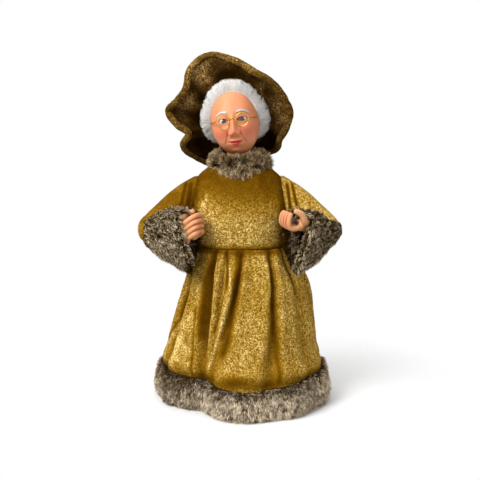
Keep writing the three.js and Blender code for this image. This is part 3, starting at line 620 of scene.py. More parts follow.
class Nodes:
    """Adds nodes to a tree and wires them."""

    def __init__(self, tree):
        self.tree = tree

    def add(self, kind, **settings):
        node = self.tree.nodes.new(kind)
        for key, value in settings.items():
            setattr(node, key, value)
        return node

    def wire(self, source, target):
        self.tree.links.new(source, target)

    def feed(self, socket, value):
        if isinstance(value, bpy.types.NodeSocket):
            self.wire(value, socket)
        else:
            socket.default_value = value

    def math(self, operation, a, b):
        node = self.add("ShaderNodeMath", operation=operation)
        self.feed(node.inputs[0], a)
        self.feed(node.inputs[1], b)
        return node.outputs[0]

    def times(self, a, b):
        return self.math("MULTIPLY", a, b)

    def plus(self, a, b):
        return self.math("ADD", a, b)

    def minus(self, a, b):
        return self.math("SUBTRACT", a, b)

    def blend(self, factor, a, b, way="MIX"):
        node = self.add("ShaderNodeMix", data_type="RGBA", blend_type=way)
        self.feed(node.inputs[0], factor)
        self.feed(node.inputs[6], a)
        self.feed(node.inputs[7], b)
        return node.outputs[2]

    def span(self, value, low, high, to_low=0.0, to_high=1.0):
        node = self.add("ShaderNodeMapRange")
        for socket, given in zip(node.inputs, (value, low, high, to_low, to_high)):
            self.feed(socket, given)
        return node.outputs[0]

    def grain(self, vector, scale, detail=2.0, rough=0.5, bend=0.0):
        node = self.add("ShaderNodeTexNoise")
        self.feed(node.inputs["Vector"], vector)
        self.feed(node.inputs["Scale"], scale)
        tune(node.inputs, Detail=detail, Roughness=rough, Distortion=bend)
        return node.outputs[0]

    def grey(self, value):
        node = self.add("ShaderNodeCombineColor")
        for socket in node.inputs:
            self.wire(value, socket)
        return node.outputs[0]

    def mix_shaders(self, factor, first, second):
        """Puts a mix of two shader nodes on the tree's output."""
        node = self.add("ShaderNodeMixShader")
        for socket, source in zip(node.inputs, (factor, first.outputs[0], second.outputs[0])):
            self.wire(source, socket)
        output = next(n for n in self.tree.nodes if n.bl_idname.startswith("ShaderNodeOutput"))
        self.wire(node.outputs[0], output.inputs["Surface"])

    def painted(self, name):
        return self.add("ShaderNodeAttribute", attribute_name=name).outputs["Fac"]

    def object_place(self):
        return self.add("ShaderNodeTexCoord").outputs["Object"]

    def stretch(self, vector, by):
        node = self.add("ShaderNodeMapping")
        self.wire(vector, node.inputs["Vector"])
        node.inputs["Scale"].default_value = by
        return node.outputs[0]


SOCKETS = {"c": "NodeSocketColor", "f": "NodeSocketFloat", "v": "NodeSocketVector"}


def new_group(name, inputs, outputs):
    tree = bpy.data.node_groups.new(name, "ShaderNodeTree")
    for label, kind in inputs:
        tree.interface.new_socket(label, in_out="INPUT", socket_type=SOCKETS[kind])
    for label, kind in outputs:
        tree.interface.new_socket(label, in_out="OUTPUT", socket_type=SOCKETS[kind])
    nodes = Nodes(tree)
    return tree, nodes, nodes.add("NodeGroupInput").outputs, nodes.add("NodeGroupOutput").inputs


# The shades of velvet, deep to glint, and where in the pile's lie one gives way to the next; the lie
# carries painted shade and highlight, and the glint is a painted glint
SHADES = ("Deep", "Low", "Middle", "Bright", "Glint")
SHADE_STEPS = (0.05, 0.3, 0.5, 0.72, 1.0)


def pile_and_painted_light_group():
    """Velvet pile in soft crushed patches, with painted shade and painted highlight where its lie is
    painted. Where it is painted bright, small clumps take a painted glint.
    """
    scalars = ("Patch scale", "Grain scale", "Crush", "Speckle")
    tree, n, given, put = new_group(
        "crushed pile and painted light",
        [("Place", "v"), *((shade, "c") for shade in SHADES), *((label, "f") for label in scalars)],
        [("Color", "c"), ("Height", "f"), ("Roughness", "f")],
    )
    patch = n.grain(given["Place"], given["Patch scale"], 3.0, 0.6, 0.8)
    clumps = n.grain(given["Place"], given["Grain scale"], 2.0, 0.6, 1.0)
    fine = n.grain(given["Place"], n.times(given["Grain scale"], 2.3), 1.0, 0.5)
    crushed = n.times(n.minus(patch, 0.5), given["Crush"])
    # the lie: crushed patches plus the painted shade and highlight of the piece
    lie = n.plus(n.plus(crushed, 0.5), n.painted("lie"))
    mixed = n.plus(n.times(clumps, 0.6), n.times(fine, 0.4))
    speckle = n.span(mixed, 0.4, 0.6)
    # painted glints: the speckle grows where the pile is painted bright
    size = n.times(n.span(lie, 0.2, 0.6, 0.2, 1.0), given["Speckle"])
    value = n.plus(lie, n.times(n.minus(speckle, 0.5), size))
    shade = given["Deep"]
    for label, low, high in zip(SHADES[1:], SHADE_STEPS, SHADE_STEPS[1:]):
        shade = n.blend(n.span(value, low, high), shade, given[label])
    n.wire(shade, put["Color"])
    n.wire(n.plus(n.times(patch, 0.5), n.times(speckle, 0.5)), put["Height"])
    n.wire(n.span(value, 0.2, 0.9, 0.75, 0.45), put["Roughness"])
    return tree


def fibre_group():
    """A fibre's colour from root to tip, darkened or lightened by its tone, which holds its own random
    tone and any painted shade.
    """
    tree, n, given, put = new_group(
        "fibre",
        [("Root", "c"), ("Middle", "c"), ("Tip", "c"), ("Tip start", "f"), ("Tone", "f")],
        [("Color", "c")],
    )
    along = n.painted("along")
    tone = n.painted("tone")
    lower = n.blend(n.span(along, 0.0, 0.55), given["Root"], given["Middle"])
    sooner = n.times(n.minus(tone, 0.5), given["Tone"])
    start = n.minus(given["Tip start"], sooner)
    tipped = n.blend(n.span(along, start, n.plus(start, 0.5)), lower, given["Tip"])
    shade = n.span(tone, 0.0, 1.0, 0.55, 1.3)
    n.wire(n.blend(1.0, tipped, n.grey(shade), "MULTIPLY"), put["Color"])
    return tree


def mottle_group():
    """Two colours that mix unevenly, with a little height."""
    tree, n, given, put = new_group(
        "mottle",
        [("Place", "v"), ("First", "c"), ("Second", "c"), ("Scale", "f")],
        [("Color", "c"), ("Height", "f"), ("Roughness", "f")],
    )
    broad = n.grain(given["Place"], given["Scale"], 4.0, 0.6, 0.4)
    fine = n.grain(given["Place"], n.times(given["Scale"], 9.0), 2.0, 0.6)
    mixed = n.plus(n.times(broad, 0.65), n.times(fine, 0.35))
    n.wire(n.blend(n.span(mixed, 0.3, 0.7), given["First"], given["Second"]), put["Color"])
    n.wire(mixed, put["Height"])
    n.wire(n.span(mixed, 0.3, 0.7, 0.85, 0.6), put["Roughness"])
    return tree


PILE_AND_PAINTED_LIGHT = pile_and_painted_light_group()
FIBRE = fibre_group()
MOTTLE = mottle_group()


def new_finish(name):
    material = bpy.data.materials.new(name)
    material.use_nodes = True
    nodes = Nodes(material.node_tree)
    return material, nodes, material.node_tree.nodes["Principled BSDF"].inputs


def placed_group(nodes, tree, **values):
    node = nodes.add("ShaderNodeGroup", node_tree=tree)
    for label, value in values.items():
        nodes.feed(node.inputs[label.replace("_", " ")], value)
    return node.outputs


def raise_by(nodes, height, strength, distance, shader):
    node = nodes.add("ShaderNodeBump")
    tune(node.inputs, Strength=strength, Distance=distance)
    nodes.wire(height, node.inputs["Height"])
    nodes.wire(node.outputs[0], shader["Normal"])


def velvet(name, shades, sheen, crush, speckle):
    """Crushed velvet from its five shades, deep to a painted glint."""
    material, n, shader = new_finish(name)
    tones = {label: colour(*shade) for label, shade in zip(SHADES, shades)}
    scales = {"Patch_scale": 34.0, "Grain_scale": 480.0}
    pile = placed_group(
        n, PILE_AND_PAINTED_LIGHT, Place=n.object_place(), **tones, **scales, Crush=crush, Speckle=speckle
    )
    n.wire(pile["Color"], shader["Base Color"])
    n.wire(pile["Roughness"], shader["Roughness"])
    raise_by(n, pile["Height"], 0.4, 0.001, shader)
    tune(shader, Sheen_Weight=sheen, Sheen_Roughness=0.3, Sheen_Tint=tones["Bright"])
    tune(shader, Specular_IOR_Level=0.0)
    return material


def fibre_finish(name, shades, tip_start, tone):
    """Fibres from their shades at the root, half way and at the tip."""
    material, n, shader = new_finish(name)
    root, middle, tip = (colour(*shade) for shade in shades)
    strand = placed_group(n, FIBRE, Root=root, Middle=middle, Tip=tip, Tip_start=tip_start, Tone=tone)
    n.wire(strand["Color"], shader["Base Color"])
    tune(shader, Roughness=0.6, Specular_IOR_Level=0.0)
    return material


def mottle(n, place, first, second, scale):
    return placed_group(n, MOTTLE, Place=place, First=colour(*first), Second=colour(*second), Scale=scale)


def mottled(name, first, second, scale, stretch=(1, 1, 1), height=0.2):
    """A matt finish of two colours, with grain that can be stretched along an axis."""
    material, n, shader = new_finish(name)
    place = n.stretch(n.object_place(), stretch)
    mix = mottle(n, place, first, second, scale)
    n.wire(mix["Color"], shader["Base Color"])
    n.wire(mix["Roughness"], shader["Roughness"])
    raise_by(n, mix["Height"], height, 0.0006, shader)
    tune(shader, Specular_IOR_Level=0.15)
    return material


def polished(name, first, second, scale, rough):
    """Polished metal of two colours."""
    material, n, shader = new_finish(name)
    mix = mottle(n, n.object_place(), first, second, scale)
    n.wire(mix["Color"], shader["Base Color"])
    tune(shader, Roughness=rough, Metallic=1.0)
    return material


# Paints on the resin, one over the other: where each is read from, its strength and its colour; crease is
# painted shade, and line is the lid lines on the face and painted shade in the fists
RESIN_PAINTS = [
    ("blush", 0.75, (224, 110, 84)),
    ("crease", 0.7, (166, 88, 54)),
    ("lips", 1.0, (196, 48, 54)),
    ("line", 1.0, (70, 42, 30)),
]


def painted_resin():
    """Matt flesh paint with blush, lips and lid lines where they are painted, and painted shade in the
    creases and the fists' hollows.
    """
    material, n, shader = new_finish("painted resin")
    mix = mottle(n, n.object_place(), (214, 150, 98), (232, 172, 120), 55.0)
    shade = mix["Color"]
    for label, strength, tint in RESIN_PAINTS:
        shade = n.blend(n.times(n.painted(label), strength), shade, colour(*tint))
    n.wire(shade, shader["Base Color"])
    n.wire(n.span(n.painted("lips"), 0.0, 1.0, 0.5, 0.3), shader["Roughness"])
    raise_by(n, mix["Height"], 0.06, 0.0004, shader)
    tune(shader, Specular_IOR_Level=0.3, Subsurface_Weight=0.12)
    tune(shader, Subsurface_Radius=(0.004, 0.0015, 0.0008))
    return material


def glass_eye(name, middle):
    """Rings of pupil, iris and white about the eye's middle as seen from the front."""
    material, n, shader = new_finish(name)
    mapping = n.add("ShaderNodeMapping")
    n.wire(n.object_place(), mapping.inputs["Vector"])
    tune(mapping.inputs, Scale=(1.0, 0.0, 1.0), Location=(-middle[0] * MM, 0.0, -middle[2] * MM))
    length = n.add("ShaderNodeVectorMath", operation="LENGTH")
    n.wire(mapping.outputs[0], length.inputs[0])
    out = n.times(length.outputs["Value"], 1 / MM)
    streaks = n.grain(n.stretch(n.object_place(), (900, 300, 900)), 1.0, 2.0)
    iris = n.blend(n.span(streaks, 0.3, 0.7), colour(52, 58, 70), colour(96, 104, 112))
    white = n.blend(n.span(out, 3.2, 5.0), colour(238, 230, 222), colour(214, 176, 156))
    rimmed = n.blend(n.span(out, 2.3, 2.8), iris, colour(24, 22, 26))
    ringed = n.blend(n.span(out, 2.75, 3.05), rimmed, white)
    n.wire(n.blend(n.span(out, 1.15, 1.4), colour(8, 7, 8), ringed), shader["Base Color"])
    tune(shader, Roughness=0.12, Coat_Weight=1.0, Coat_Roughness=0.04)
    return material


# Velvet shades, deep to glint: the deep ones also colour the painted shade in folds, and the glints are
# painted glints
GOLD = [(84, 53, 3), (124, 86, 12), (154, 117, 34), (194, 156, 70), (250, 222, 146)]
BROWN = [(26, 14, 2), (54, 35, 11), (80, 57, 25), (112, 85, 44), (168, 134, 82)]
GOLDEN_BROWN = [(36, 23, 4), (66, 45, 13), (90, 65, 23), (122, 92, 41), (192, 156, 92)]
GOLD_VELVET = velvet("gold crushed velvet", GOLD, 0.06, 0.4, 0.8)
# The brim is the same velvet as the crown and its roll, in darker shades that paint the shade inside the
# brim
BRIM_VELVET_IN_SHADE = velvet("brim velvet in painted shade", BROWN, 0.04, 0.9, 0.75)
HAT_EDGE_VELVET = velvet("golden brown hat edge", GOLDEN_BROWN, 0.05, 0.7, 0.8)
HEM_FUR = fibre_finish("grey brown fur", [(30, 16, 0), (108, 82, 45), (252, 236, 208)], 0.54, 0.9)
CUFF_FUR = fibre_finish("dark grey brown fur", [(10, 4, 0), (84, 58, 10), (255, 236, 200)], 0.7, 0.9)
COLLAR_FUR = fibre_finish("olive brown fur", [(28, 15, 2), (94, 72, 40), (224, 200, 156)], 0.55, 0.8)
FUR_BACKING = mottled("fur backing", (24, 14, 4), (42, 28, 12), 220.0, height=0.4)
MOHAIR = fibre_finish("white mohair", [(216, 211, 207), (240, 237, 234), (252, 251, 250)], 0.4, 0.3)
MOHAIR_BASE = mottled("mohair wig", (224, 220, 216), (246, 244, 241), 160.0, (1, 1, 0.4), 0.6)
RESIN = painted_resin()
GILT = polished("gilt wire", (186, 142, 62), (214, 172, 92), 300.0, 0.28)
# The stuffing and forearm pads are cream wadding, coloured dark brown as painted shade where they show
# inside the sleeves and between chin and collar
WADDING_IN_PAINTED_SHADE = mottled("wadding in painted shade", (84, 58, 20), (112, 80, 32), 420.0)


# Skirt and hem


def down_to(z):
    """Share of the way from the waist down to the hem at a height."""
    return share((WAIST_Z - z) / (WAIST_Z - HEM_Z))


def each_fold(folds, azimuth, down):
    """For each fold: degrees from its middle, its depth and its half width there."""
    slant = share(down / TRIM_TOP_DOWN)
    for waist_at, hem_at, waist_depth, hem_depth, width in folds:
        away = wrapped(azimuth - lerp(waist_at, hem_at, slant))
        yield away, lerp(waist_depth, hem_depth, down), width * (0.6 + 0.6 * down)


def along_folds(folds, azimuth, down):
    """Depth of the given folds at a place on the skirt."""
    depth = sum(deep * bump(away, wide) for away, deep, wide in each_fold(folds, azimuth, down))
    return depth * share(5 * down)


def skirt_points(azimuth, down):
    """Reach from the middle, angle and height of the skirt at an azimuth and a share of the way down."""
    a = np.radians(azimuth)
    spread = 1 - (1 - down) ** SKIRT_BELL
    half_width = lerp(WAIST_HALF[0], HEM_HALF[0], spread)
    half_depth = lerp(WAIST_HALF[1], HEM_HALF[1], spread)
    power = lerp(TORSO_SQUARENESS, 2.0, share(3 * down))
    reach = np.abs(np.cos(a) / half_width) ** power + np.abs(np.sin(a) / half_depth) ** power
    reach = reach ** (-1 / power) - along_folds([BROAD_FOLD, *FOLDS], azimuth, down)
    hip = np.maximum(np.cos(a), 0) ** 2 * bump(down - SKIRT_SWELL_AT, SKIRT_SWELL_AT)
    return reach + SKIRT_SWELL * hip * share(5 * down), a, lerp(WAIST_Z, HEM_Z, down)


def sharper_folds(azimuth, down):
    """How far the cloth sinks into a crease, or swells beside it, beyond the plain folds."""
    sharp = 0.0
    for away, deep, wide in each_fold(FOLDS, azimuth, down):
        beside = bump(away - 1.5 * wide, 0.8 * wide) + bump(away + 1.5 * wide, 0.8 * wide)
        sharp = sharp + deep * (0.45 * beside - 0.6 * bump(away, 0.55 * wide))
    return sharp * share(7 * down) * (1 - 0.75 * ease((down - 0.55) / 0.25))


def along_crease(line, width, azimuth, z, reach):
    """1 on a crease's line, and less beside it and past its ends."""
    azimuths, heights = np.array(line, float)[::-1].T
    away = wrapped(azimuth - np.interp(z, heights, azimuths))
    ends = ease((z - heights[0]) / 12 + 0.5) * ease((heights[-1] - z) / 6 + 0.5)
    return bump(np.radians(away) * reach, width) * ends


def skirt_form(u, v):
    azimuth = 360 * u
    down = v**1.3
    reach, a, z = skirt_points(azimuth, down)
    gathers = 1.3 * ripples(azimuth, 74, 3) * bump(down - 0.05, 0.06)
    pleats = 2.6 * ripples(azimuth, 34, 5) * bump(down - 0.14, 0.22) * share(9 * down)
    waist_seam = 1.8 * bump(down - 0.024, 0.02) - 0.8 * bump(down, 0.01)
    reach = reach + sharper_folds(azimuth, down) + gathers + pleats + waist_seam
    for depth, width, _, line in CREASES:
        reach = reach - depth * along_crease(line, width, azimuth, z, reach)
    puff = 4.0 + 2.0 * ripples(azimuth, 9, 7)
    return around(reach + puff * bump(down - PUFF_DOWN, 0.055), a, z)


def skirt_painted_light(points):
    """Painted shade in the folds and creases, at the waist seam, close above the fur and in a spot low in
    front, and painted highlights on a ridge and on the crumples low on the doll's right.
    """
    azimuth = azimuth_of(points)
    reach = np.hypot(points[:, 0], points[:, 1])
    z = points[:, 2]
    down = down_to(z)
    valley = share(along_folds(FOLDS, azimuth, down) / 6)
    lie = 0.04 - 0.22 * valley**1.5 - 0.3 * bump(down - 0.012, 0.018) - 0.2 * bump(down - 0.8, 0.03)
    for _, width, drop, line in CREASES:
        lie = lie - drop * along_crease(line, width, azimuth, z, reach)
    lie = lie - 0.35 * bump(azimuth + 94, 10) * bump(z - 52, 6)
    # painted highlight and shade on the crumples low on the doll's right front
    crushed = bump(azimuth + 158, 16) * bump(z - 75, 34)
    return lie + (0.1 + 0.4 * lumps(points, (7, 7, 11), 23)) * crushed


def trim_top(azimuth):
    """Height of the fur's upper edge, which sags at the front."""
    return TRIM_TOP_Z - 7 * bump(wrapped(azimuth + 85), 34)


# The trim's section from its top edge over the outside: share of its height, share of its thickness
HEM_SECTION = [(1, 0.1), (1.04, 0.55), (0.9, 1), (0.62, 1.15), (0.32, 0.95), (0.12, 0.5), (0.05, 0.1)]
FACE_SHARE = 0.7  # of a closed band's grid, laid on its outer face


def beside_skirt(azimuth, z, out):
    """A point out from the skirt's plain face."""
    reach, a, _ = skirt_points(azimuth, down_to(np.maximum(z, HEM_Z)))
    return around(reach + out, a, np.maximum(z, TRIM_BOTTOM_Z))


def hem_form(u, v):
    """The trim's outer face from the cloth over its top edge down and under."""
    section = spline(HEM_SECTION, v)
    azimuth = 360 * u
    z = lerp(TRIM_BOTTOM_Z, trim_top(azimuth), section[..., 0])
    return beside_skirt(azimuth, z, HEM_THICK * section[..., 1] + 0.9 * ripples(azimuth, 40, 11))


def closed_band(face, inner, v):
    """A band's outer face over the first part of v, and its inner one, from below, over the rest."""
    there = face(share(v / FACE_SHARE))
    back = share((v - FACE_SHARE) / (1 - FACE_SHARE))
    return np.where((v <= FACE_SHARE)[..., None], there, inner(back))


def hem_backing_form(u, v):
    """The trim's backing: its outer face, then back up against the cloth."""
    azimuth = 360 * u

    def inner(back):
        behind = beside_skirt(azimuth, lerp(TRIM_BOTTOM_Z, trim_top(azimuth), back), 0.5)
        return lerp(behind, hem_form(u, 0 * v), ease((v - 0.96) / 0.04)[..., None])

    return closed_band(partial(hem_form, u), inner, v)


def curls(points, size, seed):
    """Small turns this way and that."""
    return stack(lumps(points, size, seed), lumps(points, size, seed + 1), lumps(points, size, seed + 2))


def above_trim(points):
    """Height above the trim's upper edge."""
    return points[:, 2] - trim_top(azimuth_of(points))


def hem_comb(points):
    """Combed down, but up over the cloth along the upper edge."""
    down = lerp(-0.8, 0.15, ease((above_trim(points) + 4) / 4))
    return stack(0 * down, 0 * down, down) + 0.22 * curls(points, 8, 33)


def hem_tone_and_shade(points):
    """Painted shade: the fur is darker in the hollow on the doll's right in front, over its upper half and
    along its upper edge.
    """
    hollow = bump(azimuth_of(points) + 152, 22)
    upper = ease((points[:, 2] - 24) / 16)
    edge = ease((above_trim(points) + 5) / 4)
    return 0.08 - 0.3 * hollow - 0.14 * upper - 0.12 * edge


def on_hem(points):
    return (points[:, 2] > -4) & (above_trim(points) < 4.0)


def in_front(points):
    return on_hem(points) & (points[:, 1] < 0)


def behind(points):
    return on_hem(points) & (points[:, 1] >= 0)


def skirt_and_hem():
    skirt = surface("skirt_cloth", 420, 96, skirt_form)
    swell(skirt, crumples((0.55, 16, 21), (0.28, 7, 22)))
    thicken(skirt, 1.5)
    paint_pile_light(skirt, skirt_painted_light)
    settle(skirt, "dress_and_stand", ["skirt"], GOLD_VELVET)
    backing = surface("hem_fur_backing", 300, 40, hem_backing_form)
    settle(backing, "dress_and_stand", ["hem_trim"], FUR_BACKING)
    for name, seed, kept in (("hem_fur_front", 31, in_front), ("hem_fur_back", 32, behind)):
        pile = fur(name, hem_form, 100000, seed, even(8.6), hem_comb, kept, hem_tone_and_shade, *HEM_PILE)
        settle(pile, "dress_and_stand", ["hem_trim"], HEM_FUR)


# Bodice and collar


def torso_form(inset, flare, u, v):
    """The torso, inset all round and flared about the armholes."""
    width, depth, z = np.moveaxis(spline(TORSO, v), -1, 0)
    a = 2 * math.pi * u
    rise = share((z - WAIST_Z) / (ARMHOLE_Z - WAIST_Z))
    power = 2 / lerp(TORSO_SQUARENESS, 2.0, ease((z - SHOULDER_Z) / (NECKBAND_Z - SHOULDER_Z)))
    c = np.cos(a)
    s = np.sin(a)
    x = (width - inset) * np.sign(c) * np.abs(c) ** power
    y = (depth - inset) * np.sign(s) * np.abs(s) ** power
    over = np.maximum(np.abs(x) - (FLANK_X - inset), 0)
    x = np.sign(x) * (np.minimum(np.abs(x), FLANK_X - inset) + 1 - np.exp(-over))
    x = x + np.sign(x) * flare * ease((np.abs(x) - 40) / 14) * bump(z - 264, 30)
    z = z - 5 * ease((np.abs(x) - 34) / 20) * ease((z - 280) / 18)
    tuck = 1 - 0.012 * bump(z - WAIST_Z, 2.0)
    return stack(BODY_X * rise + x * tuck, y * tuck, z)


def bodice_creases(points):
    """Crushed all over, with pulls in front of the armholes."""
    side = np.abs(points[:, 0] - BODY_X)
    pulls = bump(side - 50, 14) * bump(points[:, 2] - 255, 26)
    crush = crumples((0.5, 15, 41), (0.25, 7, 42))
    return crush(points) + 1.3 * pulls * lumps(points, (8, 10, 26), 43)


def bodice_painted_light(points):
    """Painted shade on the chest, the flanks and along the waist seam, and painted highlights on the pulls
    by the doll's right armpit.
    """
    chest = ease((points[:, 2] - 234) / 68)
    side = points[:, 0] - BODY_X
    flank = ease((np.abs(side) - 46) / 12)
    seam = bump(points[:, 2] - WAIST_Z, 5)
    # painted highlights on the pulls by the armpit
    armpit = bump(side + 44, 8) * bump(points[:, 2] - 262, 18) * ease(-points[:, 1] / 8)
    pulled = armpit * (0.6 + 1.2 * lumps(points, (5, 9, 5), 45))
    return 0.1 - 0.46 * chest - 0.2 * flank - 0.4 * seam + 0.32 * pulled


def collar_form(u, v):
    """Over the collar from its inner top edge, round the outside, to its lower edge on the shoulders."""
    a = 2 * math.pi * u
    turn = np.radians(lerp(120, -80, v))
    front = ease(0.5 - 0.5 * np.sin(a))
    reach = COLLAR_R + COLLAR_HALF[0] * np.cos(turn) + 1.5 * ripples(360 * u, 12, 51)
    z = COLLAR_Z - COLLAR_DIP * front + COLLAR_HALF[1] * np.sin(turn)
    return stack(BODY_X + reach * np.cos(a), reach * np.sin(a) * (1 + 0.04 * front), z)


def collar_backing_form(u, v):
    """The collar's backing: its outer face, then back up inside it."""
    a = 2 * math.pi * u

    def inner(back):
        across = lerp(collar_form(u, 1 + 0 * v), collar_form(u, 0 * v), ease(back)[..., None])
        return across - around(4 * np.sin(math.pi * back), a, 0 * a)

    return closed_band(partial(collar_form, u), inner, v)


def collar_comb(points):
    """Combed down below and up above."""
    upper = ease((points[:, 2] - 306) / 18)
    return stack(0 * upper, 0 * upper, lerp(-0.8, 0.45, upper))


def clear_of_head(points):
    """True outside the face and, at the nape, below the hat brim."""
    near = np.linalg.norm((points - HEAD_AT) / FACE_ROOM, axis=-1)
    below_brim = points[:, 2] < BRIM_NAPE[1] - 0.8 * (points[:, 1] - BRIM_NAPE[0])
    return (near > 1.0) & (below_brim | (points[:, 1] < 10))


def bodice_and_collar():
    core = surface("torso_stuffing", 72, 40, partial(torso_form, 3.2, 0.0))
    fill_ends(core)
    swell(core, crumples((0.5, 18, 44)))
    settle(core, "dress_and_stand", ["torso_core"], WADDING_IN_PAINTED_SHADE)
    bodice = surface("bodice_cloth", 260, 110, partial(torso_form, 0.0, 5.0))
    swell(bodice, bodice_creases)
    thicken(bodice, 1.5)
    paint_pile_light(bodice, bodice_painted_light)
    settle(bodice, "dress_and_stand", ["bodice"], GOLD_VELVET)
    backing = surface("collar_fur_backing", 120, 40, collar_backing_form)
    settle(backing, "dress_and_stand", ["collar"], FUR_BACKING)
    lies = (even(9.5), collar_comb, clear_of_head, even(0.0))
    pile = fur("collar_fur", collar_form, 30000, 61, *lies, *COLLAR_PILE)
    settle(pile, "dress_and_stand", ["collar"], COLLAR_FUR)


# Arms


def square_to(run):
    """Level and upright ways square to a run."""
    along = unit(np.cross([0, 0, 1], run))
    return along, unit(np.cross(run, along))


ARM_START = np.array([ARMHOLE_X + 0.3, 0, ARMHOLE_Z])
UPPER_RUN = unit(ELBOW - ARM_START)
BALL_SHARE = 0.5  # of the bell's length, taken up by the ball behind the elbow
BELL_END = 1.3  # of the bell's length, where its skin is shut before the mouth is cut
SLEEVE_ROOT = 9.0  # how far the sleeve reaches into the bodice
SHUT = 1e3  # how steeply the end of a skin closes


def sleeve_radius(t):
    """Radius of the upper sleeve at a share of the way to the elbow."""
    return lerp(ARMHOLE_R, CLOTH_ELBOW_R, t) + 1.5 * np.sin(math.pi * t)


def upper_sleeve_form(arm, u, v):
    """The upper sleeve from inside the armhole to a ball at the elbow."""
    reach = np.linalg.norm(ELBOW - ARM_START)
    along = lerp(-SLEEVE_ROOT - 6, reach + CLOTH_ELBOW_R, v)
    t = share(along / reach)
    middle = ARM_START + (ELBOW - ARM_START) * t[..., None]
    middle[..., 0] += np.minimum(along, 0)
    way = unit(lerp(np.array([1.0, 0, 0]), UPPER_RUN, share(2 * t)[..., None]))
    side, up = square_to(way)
    past = share((along - reach) / CLOTH_ELBOW_R)
    middle = middle + way * (CLOTH_ELBOW_R * past)[..., None]
    puckers = 1.4 * ripples(360 * u, 17, 71) * bump(t, 0.28)
    slack = ripples(360 * u + 60 * t, 7, 72) * np.sin(math.pi * t)
    r = (sleeve_radius(t) + puckers + slack) * np.sqrt(np.maximum(1 - past**2, 0))
    r = r * ease(SHUT * v) * ease(SHUT * (1 - v))
    return arm.place(oval(middle, side, up, r, r, 2 * math.pi * u))


def bell_point(arm, t, grow, a):
    """The bell's skin at a share of its length, grown outwards."""
    middle = ELBOW + (arm.mouth - ELBOW) * t[..., None]
    half_height = lerp(ELBOW_R - 2, MOUTH_HALF_HEIGHT, share(t)) + grow
    half_depth = lerp(ELBOW_R - 3, MOUTH_HALF_DEPTH, share(t)) + grow
    way = arm.facing(t)
    up = np.array([0, 0, 1.0]) - MOUTH_LEAN * way * t[..., None]
    return oval(middle, np.cross([0, 0, 1.0], way), up, half_depth, half_height, a)


def elbow_and_bell(arm, t, grow, a):
    """The bell sleeve's skin; below t = 0 it closes in a ball behind the elbow."""
    ball = share(-t / BALL_SHARE)
    on = np.maximum(t, 0)
    middle = ELBOW + (arm.mouth - ELBOW) * on[..., None]
    offset = bell_point(arm, on, grow, a) - middle
    back = arm.forearm * ((ELBOW_R - 3 + grow) * ball)[..., None]
    return middle - back + offset * np.sqrt(np.maximum(1 - ball**2, 0))[..., None]


def bell_form(arm, u, v):
    """The bell sleeve from behind the elbow to a little past its mouth."""
    skin = elbow_and_bell(arm, lerp(-BALL_SHARE, BELL_END, v), 0 * v, 2 * math.pi * u)
    end = ELBOW + (arm.mouth - ELBOW) * BELL_END
    return arm.place(lerp(end, skin, ease(SHUT * (1 - v))[..., None]))


def outside_upper_sleeve(arm, room, points):
    """True for points that are clear of the upper sleeve."""
    start = arm.place(ARM_START)
    run = arm.place(ELBOW) - start
    t = share((points - start) @ run / (run @ run))
    nearest = start + run * t[:, None]
    return np.linalg.norm(points - nearest, axis=-1) > sleeve_radius(t) + room


def clear_of_dress(points):
    """True outside the bodice and the skirt."""
    side = np.abs(points[:, 0] - BODY_X * share((points[:, 2] - WAIST_Z) / 60))
    depth = np.abs(points[:, 1])
    torso = (side / DRESS_ROOM[0]) ** TORSO_SQUARENESS + (depth / DRESS_ROOM[1]) ** TORSO_SQUARENESS > 1
    reach = skirt_points(azimuth_of(points), down_to(points[:, 2]))[0] + 2.5
    skirt = np.hypot(points[:, 0], points[:, 1]) > reach
    return np.where(points[:, 2] > WAIST_Z, torso, skirt)


# The cuff's section: share of the bell's length, share of its reach to the body, thickness
CUFF_SECTION = [
    (-0.5, 0, 1.2),
    (-0.25, 0, 1.3),
    (0.05, 0, 1.8),
    (0.35, 0, 2.6),
    (0.7, 0, 3.2),
    (1.0, 0.3, 3.2),
    (1.0, 0.8, 2.4),
    (1.0, 1.0, 0.4),
    (1.0, 0.8, -1.6),
    (0.92, 0.3, -2.0),
]


CUFF_SEAM = (133, 244)  # a place on the seam between velvet and fur: out from the middle, height
CUFF_SEAM_SLOPE = 0.45


def cuff_seam(out):
    """Height of the seam at a distance out from the middle."""
    return CUFF_SEAM[1] + CUFF_SEAM_SLOPE * (CUFF_SEAM[0] - out)


def on_cuff(arm, points, inset):
    """1 on the cuff, 0 nearer than inset to the seam or to the cuff's outer end; x outwards."""
    below = ease((cuff_seam(points[..., 0]) - inset - points[..., 2]) / 5 + 0.5)
    return below * ease((arm.cuff_span[1] - inset - points[..., 0]) / 5 + 0.5)


def cuff_end(arm, z):
    """How near to the middle the cuff comes at a height: up to the bodice, or to the flaring skirt."""
    return arm.cuff_span[0] + 0.35 * np.maximum(WAIST_Z - z, 0)


def cuff_form(arm, u, v, inset=0.0):
    """The cuff's face from behind the elbow, over the outside, round the mouth and a little way in."""
    a = 2 * math.pi * u
    t, inwards, thick = np.moveaxis(spline(CUFF_SECTION, v), -1, 0)
    thick = thick - inset + 1.2 * ripples(360 * u, 11, 81)
    points = elbow_and_bell(arm, t, thick, a)
    under = elbow_and_bell(arm, t, 0 * thick - 4.0, a)
    points = lerp(under, points, on_cuff(arm, points, 3.5)[..., None])
    reach = np.maximum(points[..., 0] - cuff_end(arm, points[..., 2]), 0)
    points[..., 0] -= inwards * reach * ease(0.25 - np.cos(a))
    return arm.place(points)


def cuff_backing_form(arm, u, v):
    """A thin closed band under the cuff's face."""
    inner = ease((v - 0.45) / 0.1) * ease((1 - v) / 0.05)
    return cuff_form(arm, u, 1 - np.abs(2 * v - 1), 0.6 + 1.2 * inner)


